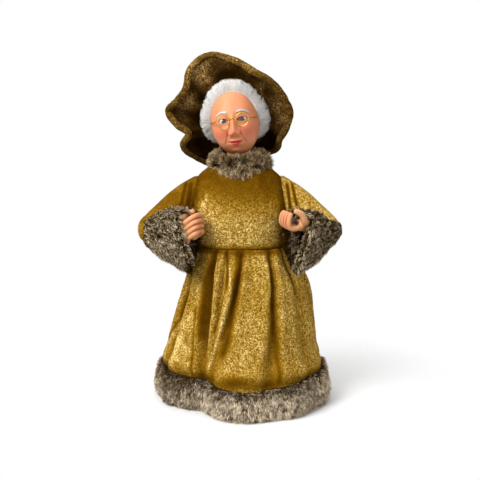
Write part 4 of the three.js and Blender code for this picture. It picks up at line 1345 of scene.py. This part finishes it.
def cuff_comb(arm, points):
    """Combed towards the mouth and down, flatter near the elbow and on the ridge in front."""
    towards = unit(arm.place(arm.mouth) - arm.place(ELBOW))
    out = arm.out(points)
    flat = ease((out - 96) / 24)[:, None]
    ridge = bump(out - 87, 9)[:, None]
    sweep = lerp(lerp(0.35, 0.85, ridge), 1.2, flat) * towards + np.array([0, 0, -0.35])
    return sweep + 0.25 * curls(points, 14, 91)


def cuff_length(arm, points):
    """Short fur round the elbow, long fur towards the mouth."""
    return lerp(3.5, 9.0, ease((126 - arm.out(points)) / 30))


def cuff_tone_and_shade(arm, points):
    """Painted shade where the fur turns in towards the body, and a little lighter on the doll's right arm
    than on its left.
    """
    turned_in = ease((cuff_end(arm, points[:, 2]) + 13 - arm.out(points)) / 12)
    return -0.02 * arm.side - 0.75 * turned_in


def cuff_allows(arm, points):
    """True on the cuff, clear of the upper sleeve and the dress, with ragged edges."""
    out = arm.out(points)
    ragged = 2.5 * lumps(points, 7, 94)
    below = points[:, 2] < cuff_seam(out) + ragged
    inside = (out > cuff_end(arm, points[:, 2]) - 3) & (out < arm.cuff_span[1] + ragged)
    outside = outside_upper_sleeve(arm, 0.6, points) | (out > 100)
    return outside & clear_of_dress(points) & below & inside


def sleeve_painted_light(arm, points):
    """Painted light on the sleeves: the doll's left sleeve lighter and its right one darker, painted shade
    in two folds that hang from each armhole in front, and a painted highlight at the elbow.
    """
    out = arm.out(points)
    drop = 292 - points[:, 2]
    hanging = ease(drop / 6) * ease((42 - drop) / 8) * ease(-points[:, 1] / 8)
    folds = bump(out - 62 - 0.12 * drop, 1.8) + 0.8 * bump(out - 68 - 0.2 * drop, 1.6)
    elbow = ease((out - 120) / 10) * ease((248 - points[:, 2]) / 8)
    return -0.1 + 0.15 * arm.side - 0.85 * folds * hanging + 0.25 * elbow


def sleeve(arm):
    upper = surface(f"{arm.name}_upper", 64, 70, partial(upper_sleeve_form, arm))
    bell = surface(f"{arm.name}_bell", 64, 50, partial(bell_form, arm))
    piece = fuse([upper, bell], f"{arm.name}_sleeve_cloth", 1.5, 6)
    swell(piece, crumples((0.5, 14, 101), (0.3, 6, 102)))

    def under_fur(points):
        local = arm.from_middle(points)
        return -2.5 * on_cuff(arm, local, 7.0) * ease((local[:, 0] - 92) / 10)

    swell(piece, under_fur)
    cut_off(piece, arm.place(ARM_START - [SLEEVE_ROOT, 0, 0]), (-arm.side, 0, 0))
    on_bell = outside_upper_sleeve(arm, 0.8, points_of(piece))
    cut_off(piece, arm.place(arm.mouth), (-arm.side, 0, MOUTH_LEAN), on_bell)
    thicken(piece, 1.4)
    paint_pile_light(piece, partial(sleeve_painted_light, arm))
    settle(piece, f"{arm.name}_arm", [f"{arm.name}_sleeve"], GOLD_VELVET)
    return piece


def forearm_form(arm, u, v):
    """The stuffed forearm from the elbow to just before the wrist."""
    end = arm.wrist - 3 * unit(arm.wrist - ELBOW)
    side, up = square_to(unit(end - ELBOW))
    r = lerp(FOREARM_R, WRIST_R, v) + 0.5 * np.sin(14 * v)
    r = r * np.sqrt(share(v * 12)) * np.sqrt(share((1 - v) * 14))
    return arm.place(oval(ELBOW + (end - ELBOW) * v[..., None], side, up, r, r, 2 * math.pi * u))


# Hands


def dome(value):
    """Rises from 0 to 1 as a quarter circle does."""
    t = share(value)
    return np.sqrt(t * (2 - t))


def tube_form(path, radii, u, v):
    """A closed finger-like tube along a smooth path."""
    way = unit(spline(path, share(v + 0.01)) - spline(path, share(v - 0.01)))
    side = unit(np.cross(way, [0.02, 0.03, 1.0]))
    r = spline(radii[:, None], v)[..., 0] * (dome(v / 0.07) * dome((1 - v) / 0.09))
    return oval(spline(path, v), side, unit(np.cross(way, side)), r, r, 2 * math.pi * u)


FINGER_R = 4.0
FINGER_PITCH = 1.7 * FINGER_R
FINGER_RISE = 5.0
GRIP_AT = (22.5, 5.0)
GRIP_R = 6.0
PALM_END = GRIP_AT[0] - GRIP_R
TOP_FINGER = 1.5 * FINGER_PITCH
CURL_R = GRIP_R + FINGER_R
BACK_Y = GRIP_AT[1] - GRIP_R - FINGER_R


def palm_form(drop, u, v):
    """The palm from the wrist to the knuckles, which lie lower by drop."""
    sections = [
        (0.0, 0.0, WRIST_R, WRIST_R),
        (0.3 * PALM_END, 0.0, WRIST_R, WRIST_R + 1.0),
        (0.7 * PALM_END, 0.35 * BACK_Y, FINGER_R + 3.2, TOP_FINGER + 2.6),
        (PALM_END, 0.35 * BACK_Y, FINGER_R + 2.0, TOP_FINGER + 3.2),
        (PALM_END + 2.5, 0.35 * BACK_Y, FINGER_R, TOP_FINGER + 2.4),
    ]
    x, y, half_depth, half_height = np.moveaxis(spline(sections, v), -1, 0)
    a = 2 * math.pi * u
    cap = np.sqrt(share(v / 0.06)) * np.sqrt(share((1 - v) / 0.1))
    z = half_height * cap * np.sin(a) - drop * ease(x / (0.7 * PALM_END))
    return stack(x, y + half_depth * cap * np.cos(a), z)


def rounded_box(turn):
    """A turn's share across and up on a curve between a circle and a square."""
    c = math.cos(turn)
    s = math.sin(turn)
    return math.copysign(abs(c) ** 0.7, c), math.copysign(abs(s) ** 0.7, s)


def finger_path(z, rise, reach, last_turn):
    """A finger from the palm round the grip: reach is how far out it comes, rise how much it slants."""
    path = [(0.55 * PALM_END, 0.4 * BACK_Y, 0.75 * z)]
    for turn in np.radians(np.linspace(-150, last_turn, 7)):
        across, up = rounded_box(turn)
        out = (reach if across > 0 else CURL_R) * across
        path.append((GRIP_AT[0] + out, GRIP_AT[1] + CURL_R * up, z + rise * math.cos(turn)))
    return path


FINGER_JOINTS = np.array([3.7, 4.0, 3.5, 4.0, 3.4, 3.8, 3.2, 2.9])
FINGER_SIZES = (0.95, 0.97, 0.95, 0.88)
# Seen along the grip, each finger shows beside the one before it; seen across it, the fingers slant
SIDE_STEP = 1.6
NEAR_REACH = 7.4
SLANT = 5.5
# Paths of the thumbs from the middle of the grip's top
LEFT_THUMB = [(-18, -4, -6), (-12, 0, 4), (-7, 8, 7), (-1.5, 11.5, 7.5), (4.0, 13.0, 6.5)]
RIGHT_THUMB = [(-18, -4, -6), (-14, 1, 4), (-10.5, 8, 8.5), (-6, 10, 10), (-0.5, 9, 10.5)]
THUMB_JOINTS = np.array([4.4, 4.4, 3.9, 3.6, 2.9])


def hand_tubes(along):
    """Paths and radii of four fingers and a thumb, for a fist seen along its grip or across it."""
    for f in range(4):
        z = TOP_FINGER - f * FINGER_PITCH
        if along:
            path = finger_path(z, 0.5 * FINGER_RISE, NEAR_REACH + SIDE_STEP * f, 62)
        else:
            path = finger_path(z, SLANT, CURL_R * (1 - 0.06 * abs(f - 1)), 150)
        yield path, FINGER_JOINTS * FINGER_SIZES[f]
    thumb = LEFT_THUMB if along else RIGHT_THUMB
    yield np.array(thumb, float) + [GRIP_AT[0], GRIP_AT[1], TOP_FINGER], THUMB_JOINTS


def set_on_wrist(arm, points):
    """Turns a fist round the way it points and puts it on the arm."""
    t = math.radians(arm.turn)
    y = points[:, 1] * math.cos(t) - points[:, 2] * math.sin(t)
    z = points[:, 1] * math.sin(t) + points[:, 2] * math.cos(t)
    along, up = square_to(arm.pointing)
    placed = arm.wrist + points[:, :1] * arm.pointing - y[:, None] * along + z[:, None] * up
    return arm.place(placed)


def hand(arm):
    along = arm.turn > 0
    slant = 0.5 * FINGER_RISE if along else SLANT
    drop = slant - 0.5 * FINGER_RISE
    parts = [surface("palm", 40, 30, partial(palm_form, drop))]
    for path, radii in hand_tubes(along):
        parts.append(surface("finger", 24, 44, partial(tube_form, path, radii)))
    piece = fuse(parts, f"{arm.name}_hand_resin", 0.55, 3)
    local = points_of(piece)
    move_points(piece, set_on_wrist(arm, local))
    face_outwards(piece)
    level = local[:, 2] - slant * np.clip((local[:, 0] - GRIP_AT[0]) / CURL_R, -1, 1)
    grooves = np.abs((level - TOP_FINGER) / FINGER_PITCH % 1 - 0.5)
    in_fingers = ease((local[:, 0] - 0.7 * PALM_END) / 4) * (np.abs(level) < TOP_FINGER + 1)
    # crease: painted shade in the grooves between the fingers
    paint(piece, "crease", share(1.2 * bump(grooves, 0.16)) * in_fingers)
    paint(piece, "blush", 0.35 * bump(local[:, 0] - GRIP_AT[0] - CURL_R, 5))
    paint(piece, "lips", 0 * grooves)
    from_bore = np.hypot(local[:, 0] - GRIP_AT[0], local[:, 1] - GRIP_AT[1])
    bore_shade = ease((GRIP_R + 1.4 - from_bore) / 1.6) * (np.abs(local[:, 2]) < TOP_FINGER + FINGER_R)
    under_thumb_shade = ease((9.0 - from_bore) / 3) * bump(level - TOP_FINGER - 6, 3.0)
    between = 0.35 * bump(grooves, 0.08) * in_fingers
    # line here is painted shade: in the fist's bore, under the thumb and between the fingers
    paint(piece, "line", share(0.9 * bore_shade + 0.8 * under_thumb_shade + between))
    settle(piece, f"{arm.name}_fist", [f"{arm.name}_hand"], RESIN)


def dressed_arm(arm):
    body = f"{arm.name}_arm"
    cloth = sleeve(arm)
    forearm = surface(f"{arm.name}_forearm", 32, 40, partial(forearm_form, arm))
    settle(forearm, body, [f"{arm.name}_arm_pad"], WADDING_IN_PAINTED_SHADE)
    backing = surface(f"{arm.name}_cuff_backing", 120, 44, partial(cuff_backing_form, arm))
    settle(backing, body, [f"{arm.name}_cuff"], FUR_BACKING)
    lies = [partial(lie, arm) for lie in (cuff_length, cuff_comb, cuff_allows, cuff_tone_and_shade)]
    face = partial(cuff_form, arm)
    pile = fur(f"{arm.name}_cuff_fur", face, 56000, 111 + arm.side, *lies, *CUFF_PILE)
    settle(pile, body, [f"{arm.name}_cuff"], CUFF_FUR)
    hand(arm)


# Head


HEAD_TILT = Matrix.Rotation(math.radians(-8), 3, "Y")
HEAD_TURN = np.array(HEAD_TILT @ Matrix.Rotation(math.radians(-4), 3, "Z"))

# Spots on the face: strength, place across and half width, place up and half height
FEATURES = [
    (1.2, 12, 9, 12, 4.5),
    (-2.6, EYE_X, 8, EYE_Z + 1, 6.5),
    (2.4, EYE_X, 6.8, EYE_Z, 5),
    (3.6, 0, 3.2, 2, 7),
    (5.0, 0, 3.8, -6, 6),
    (7.5, 0, 4.6, -13, 5),
    (3.2, 5, 2.6, -14.6, 3),
    (-1.3, 8.4, 1.5, -13.5, 3.2),
    (3.2, 17, 8.5, -11, 8.5),
    (1.6, 15, 8, -27, 8),
    (2.4, 0, 11, -25, 7.5),
    (-0.9, 0, 1.6, -20, 2.2),
    (1.4, 2.4, 4, -23.4, 1.8),
    (2.0, 0, 5, -28.2, 2.0),
    (-1.0, 9.4, 1.8, -24.4, 1.8),
    (-1.3, 0, 7, -32.2, 2.0),
    (3.2, 0, 8.5, -37.5, 6),
]
BLUSHES = [(1.0, 18, 8.5, -12, 8), (0.45, 0, 5, -13, 5), (0.25, 0, 8, -37, 5)]
# Painted shade in the grooves beside the nose's wings, in the nostrils and under the lower lip
PAINTED_SHADE_SPOTS = [(0.7, 8.2, 1.2, -13.5, 2.6), (0.35, 0, 6, -32.2, 1.4), (0.7, 3.4, 1.5, -18, 0.9)]


def on_head(points):
    """Points of the upright head, tilted and put in place."""
    return points @ HEAD_TURN.T + HEAD_AT


def spots(rows, x, z):
    """The sum of soft round spots."""
    return sum(much * bump(x - across, wide) * bump(z - up, high) for much, across, wide, up, high in rows)


def relief(x, z):
    """How far the face's features stand out, by the place across and up the face."""
    x = np.abs(x)
    mouth = 1.7 * bump(z - mouth_line(x), 0.75) * ease((9.4 - x) / 2)
    lines = bump(z - 20 - 0.01 * x**2, 0.7) + bump(z - 25 - 0.01 * x**2, 0.7)
    out = spots(FEATURES, x, z) - mouth - 0.9 * laugh_line(x, z) - 0.22 * bump(x, 13) * lines
    return out + 0.7 * lid_ring(x, z) - 4.2 * eye_opening(x, z)


def mouth_line(x):
    return -25.6 + 0.014 * x**2


def laugh_line(x, z):
    """The crease from beside the nose to beside the mouth."""
    t = share((-14 - z) / 13)
    return bump(x - (8.6 + 4.6 * t), 1.3) * ease((-12.5 - z) / 3) * ease((z + 29) / 4)


def eye_round(x, z):
    """1 on the edge of the lids, less inside."""
    across = (np.abs(x) - EYE_X) / 5.6
    rise = z - EYE_Z - 0.2
    return np.sqrt(across**2 + (rise / np.where(rise > 0, 2.9, 2.3)) ** 2)


def eye_opening(x, z):
    return ease((1.08 - eye_round(x, z)) / 0.28)


def lid_ring(x, z):
    return bump(eye_round(x, z) - 1.35, 0.3)


def direction(back, azimuth):
    """A way out of the head: degrees back from the face's middle, azimuth from the doll's left."""
    b = np.radians(back)
    a = np.radians(azimuth)
    return stack(np.sin(b) * np.cos(a), -np.cos(b), np.sin(b) * np.sin(a))


def skull(back, azimuth, face=False):
    """The head's surface along one direction."""
    d = direction(back, azimuth)
    p = d / np.linalg.norm(d / np.array(HEAD_HALF), axis=-1, keepdims=True)
    front = ease(-p[..., 1] / (0.5 * HEAD_HALF[1]))
    p[..., 0] *= 1 + 0.05 * front * bump(p[..., 2] + 18, 14)
    if face:
        p[..., 1] -= relief(p[..., 0], p[..., 2]) * front
    return p


def face_paint(piece, local):
    x = np.abs(local[:, 0])
    z = local[:, 2]
    front = ease((-local[:, 1] - 8) / 8)
    line = mouth_line(x)
    upper = line + 3.0 * (1 - (x / 8.4) ** 2) - 0.9 * bump(x, 1.5)
    lower = line - 3.9 * (1 - (x / 7.6) ** 2)
    lips = ease((upper - z) / 0.6 + 0.5) * ease((z - lower) / 0.6 + 0.5)
    paint(piece, "lips", 0.9 * lips * front * (x < 8.4))
    paint(piece, "blush", share(0.55 + 0.6 * spots(BLUSHES, x, z) * front))
    # crease: painted shade along the laugh lines, between the lips, above the lids and in the shade spots
    crease = 0.8 * laugh_line(x, z) + 0.9 * bump(z - line, 0.55) * (x < 9.6)
    crease = crease + 0.5 * lid_ring(x, z) * ease((z - EYE_Z) / 2) + spots(PAINTED_SHADE_SPOTS, x, z)
    paint(piece, "crease", share(crease) * front)
    edge = bump(eye_round(x, z) - 1.02, 0.13) * np.where(z > EYE_Z, 0.95, 0.45)
    paint(piece, "line", share(edge) * front)


def head():
    def form(u, v):
        return skull(180 * v**1.45, 360 * u, face=True)

    skin = surface("head_resin", 288, 150, form)
    local = points_of(skin)
    face_paint(skin, local)
    move_points(skin, on_head(local))

    def neck_form(u, v):
        a = 2 * math.pi * u
        r = NECK_R + 2.5 * ease((v - 0.6) / 0.4)
        r = r * ease(60 * v) * ease(60 * (1 - v))
        return around(r, a, lerp(*NECK_SPAN, v)) + [BODY_X, 0, 0]

    neck = surface("neck", 48, 30, neck_form)
    for name, _, _ in RESIN_PAINTS:
        paint(neck, name, np.zeros(len(neck.data.vertices)))
    skin = join([skin, neck], "head_resin")
    settle(skin, "head_and_hat", ["head"], RESIN)
    for name in ("left", "right"):
        low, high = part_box(f"{name}_eye")
        middle = np.array((low + high) / 2) / MM
        middle = middle + HEAD_TURN @ np.array([0, -1.0, 0])
        eye = surface(f"{name}_glass_eye", 48, 32, partial(eye_form, middle))
        settle(eye, "head_and_hat", [f"{name}_eye"], glass_eye(f"{name} glass eye", middle))


def eye_form(middle, u, v):
    return middle + EYE_R * direction(180 * v, 360 * u)


def face_front(x, z):
    depth = HEAD_HALF[1] * np.sqrt(1 - (x / HEAD_HALF[0]) ** 2 - (z / HEAD_HALF[2]) ** 2)
    return -depth - relief(x, z)


def brows():
    rng = np.random.default_rng(121)
    count = 900
    side = np.where(rng.random(count) < 0.5, -1.0, 1.0)
    t = rng.random(count)
    x = lerp(5.5, 19.5, t)
    arch = 10.6 + 3.4 * np.sin(math.pi * (0.15 + 0.75 * t)) - 1.5 * t
    z = arch + rng.normal(0, 0.55, count) * (1 - 0.5 * t)
    reach = rng.uniform(2.2, 3.6, count)
    paths = []
    for step in (0.0, 0.5, 1.0):
        px = x + reach * step * 0.9
        pz = z + reach * step * lerp(0.5, -0.35, t)
        lift = 0.2 + 1.1 * math.sin(math.pi * min(0.85, 0.15 + 0.6 * step))
        paths.append(stack(side * px, face_front(px, pz) - lift, pz))
    paths = on_head(np.stack(paths, axis=1))
    sideways = unit(np.cross(paths[:, 2] - paths[:, 0], [0.1, -1.0, 0.1]))
    half = 0.19 * np.ones((count, 1)) * np.array([1.0, 0.8, 0.0])
    piece = ribbons("brow_hairs", paths, half, sideways, rng.uniform(0.0, 0.6, count))
    settle(piece, "head_and_hat", ["head"], MOHAIR)


# Hair


def lowness(azimuth):
    """0 at the top of the head, 1 at the nape."""
    return (1 - np.sin(np.radians(azimuth))) / 2


def hairline(azimuth):
    temples = bump(np.abs(wrapped(azimuth - 90)) - 48, 22)
    return lerp(*HAIRLINE, lowness(azimuth) ** 2.2) + 4 * temples


def crown_edge(azimuth):
    return lerp(*CROWN_EDGE, lowness(azimuth) ** 1.3)


def hair_point(back, azimuth, clearance):
    """The wig's outer face, moved out by clearance."""
    start = hairline(azimuth)
    s = share((back - start) / (180 - start))
    depth = HAIR_THICK * (0.25 + 0.75 * share(s / 0.16) ** 0.6) * (1 - 0.35 * s)
    depth = depth * (1 - 0.25 * (1 - lowness(azimuth)) ** 3)
    p = skull(back, azimuth)
    return p + unit(p) * (depth + clearance)[..., None]


def hair_waves(back, azimuth):
    """Soft puffs in the wig, flat at the hairline and under the hat."""
    puffs = crumples((1.0, 10, 143), (0.5, 5, 144))(skull(back, azimuth))
    bare = ease((crown_edge(azimuth) - back) / 8)
    return 1.2 * puffs * bare * ease((back - hairline(azimuth)) / 6)


def hair():
    def wig_form(u, v):
        azimuth = 360 * u
        back = lerp(hairline(azimuth), 180, v)
        p = hair_point(back, azimuth, -1.2 + hair_waves(back, azimuth))
        tuck = ease(1 - v / 0.03)
        inner = skull(back, azimuth)
        return on_head(lerp(p, inner, 0.9 * tuck[..., None]))

    wig = surface("wig", 180, 70, wig_form)
    thicken(wig, 1.0)
    settle(wig, "head_and_hat", ["hair"], MOHAIR_BASE)
    rng = np.random.default_rng(141)
    count = 15000
    azimuth = 360 * rng.random(count)
    deep = np.where(rng.random(count) < 0.45, rng.uniform(0, 5, count), rng.uniform(0, 60, count))
    start = hairline(azimuth) + deep
    span = rng.uniform(18, 34, count)
    phase = 2.5 * lumps(stack(azimuth / 9, 0, 0), 1.0, 142) + rng.normal(0, 1.3, count)
    loft = rng.uniform(-0.6, 2.4, count) + 3.0 * (rng.random(count) < 0.1)
    sway = rng.uniform(1.5, 5.0, count)
    steps = 8
    path = []
    for step in range(steps):
        t = step / (steps - 1)
        back = np.minimum(start + span * t, 178)
        curl = np.sin(phase + 7.0 * t)
        lift = loft * math.sin(math.pi * (0.1 + 0.8 * t)) + 0.6 * curl
        lift = lift - 2.2 * (step == 0) * (deep < 6)
        under_hat = ease((back - crown_edge(azimuth)) / 6 + 1)
        lift = lerp(lift, np.minimum(lift, 0.3), under_hat)
        path.append(hair_point(back, azimuth + sway * curl, lift + hair_waves(back, azimuth)))
    paths = on_head(np.stack(path, axis=1))
    sideways = unit(np.cross(paths[:, -1] - paths[:, 0], unit(paths[:, 3] - HEAD_AT)))
    taper = np.array([0.5, 0.8, 1.0, 1.0, 1.0, 0.9, 0.7, 0.0])
    half = 0.24 * rng.uniform(0.7, 1.2, (count, 1)) * taper
    tones = rng.uniform(0.2, 0.95, count)
    seen = lowness(azimuth) < 0.86
    locks = ribbons("hair_locks", paths[seen], half[seen], sideways[seen], tones[seen])
    settle(locks, "head_and_hat", ["hair"], MOHAIR)


# Spectacles


def wire(name, path, radius=RIM_WIRE_R, closed=False):
    curve = bpy.data.curves.new(name, "CURVE")
    curve.dimensions = "3D"
    curve.bevel_depth = radius * MM
    curve.bevel_resolution = 4
    curve.use_fill_caps = True
    line = curve.splines.new("POLY")
    line.points.add(len(path) - 1)
    for point, at in zip(line.points, path):
        point.co = (*(at * MM), 1.0)
    line.use_cyclic_u = closed
    piece = bpy.data.objects.new(name, curve)
    bpy.context.scene.collection.objects.link(piece)
    only(piece)
    bpy.ops.object.convert(target="MESH")
    return bpy.context.object


def spectacles():
    turns = np.linspace(0, 2 * math.pi, 49)[:-1]
    across = RIM_R * np.cos(turns)
    up = EYE_Z + RIM_R * np.sin(turns)
    plane = min(face_front(EYE_X + across, up)) - RIM_WIRE_R - 0.2
    parts = []
    for side in (-1, 1):
        ring = stack(side * EYE_X + across, plane, up)
        parts.append(wire("rim", on_head(ring), closed=True))
        azimuth = 4.0 if side > 0 else 176.0
        hinge = np.array([side * (EYE_X + RIM_R), plane, EYE_Z + 1])
        bow = skull(np.array(52.0), np.array(azimuth))
        bow = bow + unit(bow) * 2.6
        end = skull(hairline(azimuth) + 6, np.array(azimuth))
        end = end + unit(end) * 1.5
        arm = spline([hinge, bow, end], np.linspace(0, 1, 20))
        parts.append(wire("side_arm", on_head(arm), 0.6))
        lug = spline([hinge + [0, 0, 1.4], hinge + [0, 0.2, -1.4]], np.linspace(0, 1, 3))
        parts.append(wire("hinge", on_head(lug), 0.95))
    s = np.linspace(-1, 1, 17)
    arch = 1 - s**2
    z = EYE_Z + 1 + 2.4 * arch
    y = np.minimum(plane, face_front(0 * z, z) - RIM_WIRE_R - 0.2)
    bridge = stack(s * (EYE_X - RIM_R), lerp(plane, y, arch), z)
    parts.append(wire("bridge", on_head(bridge)))
    piece = join(parts, "gilt_spectacles")
    settle(piece, "head_and_hat", ["spectacles"], GILT)


# Hat


def brim_edge(u):
    """The brim's edge round the upright head."""
    lobes = np.array(BRIM_LOBES, float)
    a = np.radians(lobes[:, 0])
    knots = np.stack([lobes[:, 1] * np.cos(a), lobes[:, 2], lobes[:, 1] * np.sin(a)], axis=-1)
    return spline(knots, u % 1.0, closed=True)


def brim_frame(u):
    """Root and edge of the brim, and the ways out of and across the edge."""
    edge = brim_edge(u)
    ahead = unit(brim_edge(u + 0.004) - brim_edge(u - 0.004))
    azimuth = azimuth_of(edge, up=2)
    root = hair_point(crown_edge(azimuth), azimuth, BRIM_LIFT + 0 * azimuth)
    out = edge - root
    out = unit(out - ahead * np.sum(out * ahead, axis=-1, keepdims=True))
    side = np.cross(ahead, out)
    side = side * np.sign(side[..., 1:2])
    return root, edge, out, side, azimuth


def brim_form(u, v):
    """Front face from the hair to the edge, then the back face to the crown."""
    root, edge, out, side, azimuth = brim_frame(u)
    s = 1 - np.abs(2 * v - 1)
    back = np.where(v > 0.5, 1.0, -1.0)
    tip = edge - out * 1.5
    at = lerp(root, tip, s[..., None])
    belly = 3.5 * np.sin(math.pi * s)
    drape = 4.4 * ripples(azimuth + 14 * s, 16, 151) * np.sin(math.pi * s**1.4)
    crumple = 1.2 * lumps(at, 13, 152) * share(4 * s * (1 - s))
    groove = 0.6 * bump(s - 0.93, 0.05)
    thick = BRIM_THICK / 2 * np.sqrt(share(s / 0.03)) * (1 - groove) * np.sqrt(share((1 - s) / 0.02))
    return on_head(at + side * (belly + drape + crumple + back * thick)[..., None])


def brim_painted_light(points):
    """Painted shade close to the hair and on the brim's lower half, with painted shade and highlight along
    the soft pleats that run out from the hair.
    """
    local = (points - HEAD_AT) @ HEAD_TURN
    round_head = np.linalg.norm(local[:, [0, 2]] / np.array([44, 58]), axis=-1)
    azimuth = azimuth_of(local, up=2)
    pleats = 0.3 * ripples(azimuth, 26, 153) + 0.2 * lumps(points, 11, 154)
    return 0.05 + pleats - 0.3 * bump(round_head - 1, 0.3) - 0.3 * ease(-local[:, 2] / 30)


def roll_form(u, v):
    """The padded roll along the brim's edge."""
    _, edge, out, side, azimuth = brim_frame(u)
    a = 2 * math.pi * v
    r = ROLL_R * (1 + 0.1 * ripples(azimuth, 60, 161) + 0.08 * ripples(azimuth, 24, 162))
    pinch = 1 - 0.12 * bump(np.cos(a) + 1, 0.5)
    return on_head(oval(edge, out, side, r * pinch, 0.95 * r, a))


def crown_form(u, v):
    """The gathered crown over the back of the hair."""
    azimuth = 360 * u
    back = lerp(crown_edge(azimuth) - 1, 180, v)
    puff = lerp(BRIM_LIFT, 12, share(4.5 * v) ** 0.55)
    pleats = 1.6 * ripples(azimuth, 44, 171) * bump(v - 0.08, 0.2)
    p = hair_point(back, azimuth, puff + pleats)
    sag = 1.6 * lumps(p, 24, 172) * ease(4 * v)
    return on_head(p + unit(p) * sag[..., None])


def hat():
    crown = surface("hat_crown_cloth", 260, 80, crown_form)
    swell(crown, crumples((0.5, 12, 173)))
    thicken(crown, 1.6)
    settle(crown, "head_and_hat", ["hat_crown"], HAT_EDGE_VELVET)
    brim = surface("hat_brim_cloth", 420, 80, brim_form)
    paint_pile_light(brim, brim_painted_light)
    settle(brim, "head_and_hat", ["hat_brim"], BRIM_VELVET_IN_SHADE)
    roll = surface("brim_roll_cloth", 420, 28, roll_form)
    swell(roll, crumples((0.35, 5, 163)))
    settle(roll, "head_and_hat", ["brim_edge_roll"], HAT_EDGE_VELVET)


# Inner frame and base


def inner_frame():
    wood = mottled("turned dowel", (178, 138, 88), (212, 176, 124), 60.0, (1, 1, 0.12))
    ply = mottled("base board", (150, 116, 72), (184, 150, 102), 40.0, (0.2, 1, 1))
    felt = mottled("base felt", (46, 38, 30), (70, 60, 48), 500.0, height=0.6)
    card = mottled("grey card", (142, 126, 98), (170, 152, 122), 150.0)
    nylon = mottled("nylon tube", (222, 218, 206), (236, 233, 224), 90.0, height=0.05)
    steel = polished("steel wire", (150, 150, 148), (182, 182, 180), 400.0, 0.35)
    finishes = {
        "base_pad": felt,
        "base_board": ply,
        "base_screw": steel,
        "spine_post": wood,
        "skirt_cone": card,
        "shoulder_tube": nylon,
        "left_arm_wire": steel,
        "right_arm_wire": steel,
    }
    for name, material in finishes.items():
        cover(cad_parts[name], material)


# Stage


WHITE = (1, 1, 1, 1)
FLOOR_GREY = (0.9, 0.9, 0.9, 1)
FLOOR_FADE = (0.12, 0.34)  # metres from the middle between which the floor thins out
ROOM_LIGHT = 0.42
AIM = Vector((0, 0, 0.22))  # where the lamps point


def studio():
    deselect()
    bpy.ops.mesh.primitive_circle_add(vertices=96, radius=1.6, fill_type="NGON")
    floor = named(bpy.context.object, "floor")
    material, n, shader = new_finish("pale floor")
    tune(shader, Base_Color=FLOOR_GREY, Roughness=0.8, Specular_IOR_Level=0.1)
    length = n.add("ShaderNodeVectorMath", operation="LENGTH")
    n.wire(n.object_place(), length.inputs[0])
    solid = material.node_tree.nodes["Principled BSDF"]
    n.mix_shaders(n.span(length.outputs["Value"], *FLOOR_FADE), solid, n.add("ShaderNodeBsdfTransparent"))
    floor.data.materials.append(material)

    world = bpy.data.worlds.new("studio")
    world.use_nodes = True
    w = Nodes(world.node_tree)
    ground = world.node_tree.nodes["Background"]
    shown = w.add("ShaderNodeBackground")
    tune(ground.inputs, Color=WHITE, Strength=ROOM_LIGHT)
    tune(shown.inputs, Color=WHITE, Strength=1.0)
    ray = w.add("ShaderNodeLightPath")
    seen = w.math("MAXIMUM", ray.outputs["Is Camera Ray"], ray.outputs["Is Glossy Ray"])
    seen = w.math("MAXIMUM", seen, ray.outputs["Is Transmission Ray"])
    w.mix_shaders(seen, ground, shown)
    bpy.context.scene.world = world

    lamp("key", (-0.9, -0.85, 1.25), 0.8, 30.0)
    lamp("fill", (1.1, -1.0, 0.6), 0.9, 4.0)
    lamp("top", (0.1, 0.3, 1.5), 0.9, 8.0)


def lamp(name, at, size, power):
    light = bpy.data.lights.new(name, "AREA")
    light.size = size
    light.energy = power
    holder = bpy.data.objects.new(name, light)
    holder.location = at
    holder.rotation_euler = (AIM - Vector(at)).to_track_quat("-Z", "Y").to_euler()
    bpy.context.scene.collection.objects.link(holder)


CAMERA_AT = (0, -1.1, 0.4)
LOOK_DOWN = 9.68
LENS = 63.0
VIEW_SHIFT = -2 / 480


def camera():
    view = bpy.data.cameras.new("camera")
    view.lens = LENS
    view.sensor_width = 36.0
    view.shift_x = VIEW_SHIFT
    view.clip_start = 0.05
    holder = bpy.data.objects.new("camera", view)
    holder.location = CAMERA_AT
    holder.rotation_euler = (math.radians(90 - LOOK_DOWN), 0, 0)
    bpy.context.scene.collection.objects.link(holder)
    bpy.context.scene.camera = holder


skirt_and_hem()
bodice_and_collar()
dressed_arm(LEFT)
dressed_arm(RIGHT)
head()
brows()
hair()
spectacles()
hat()
inner_frame()
studio()
camera()
bpy.context.scene.view_settings.view_transform = "Standard"
deselect()
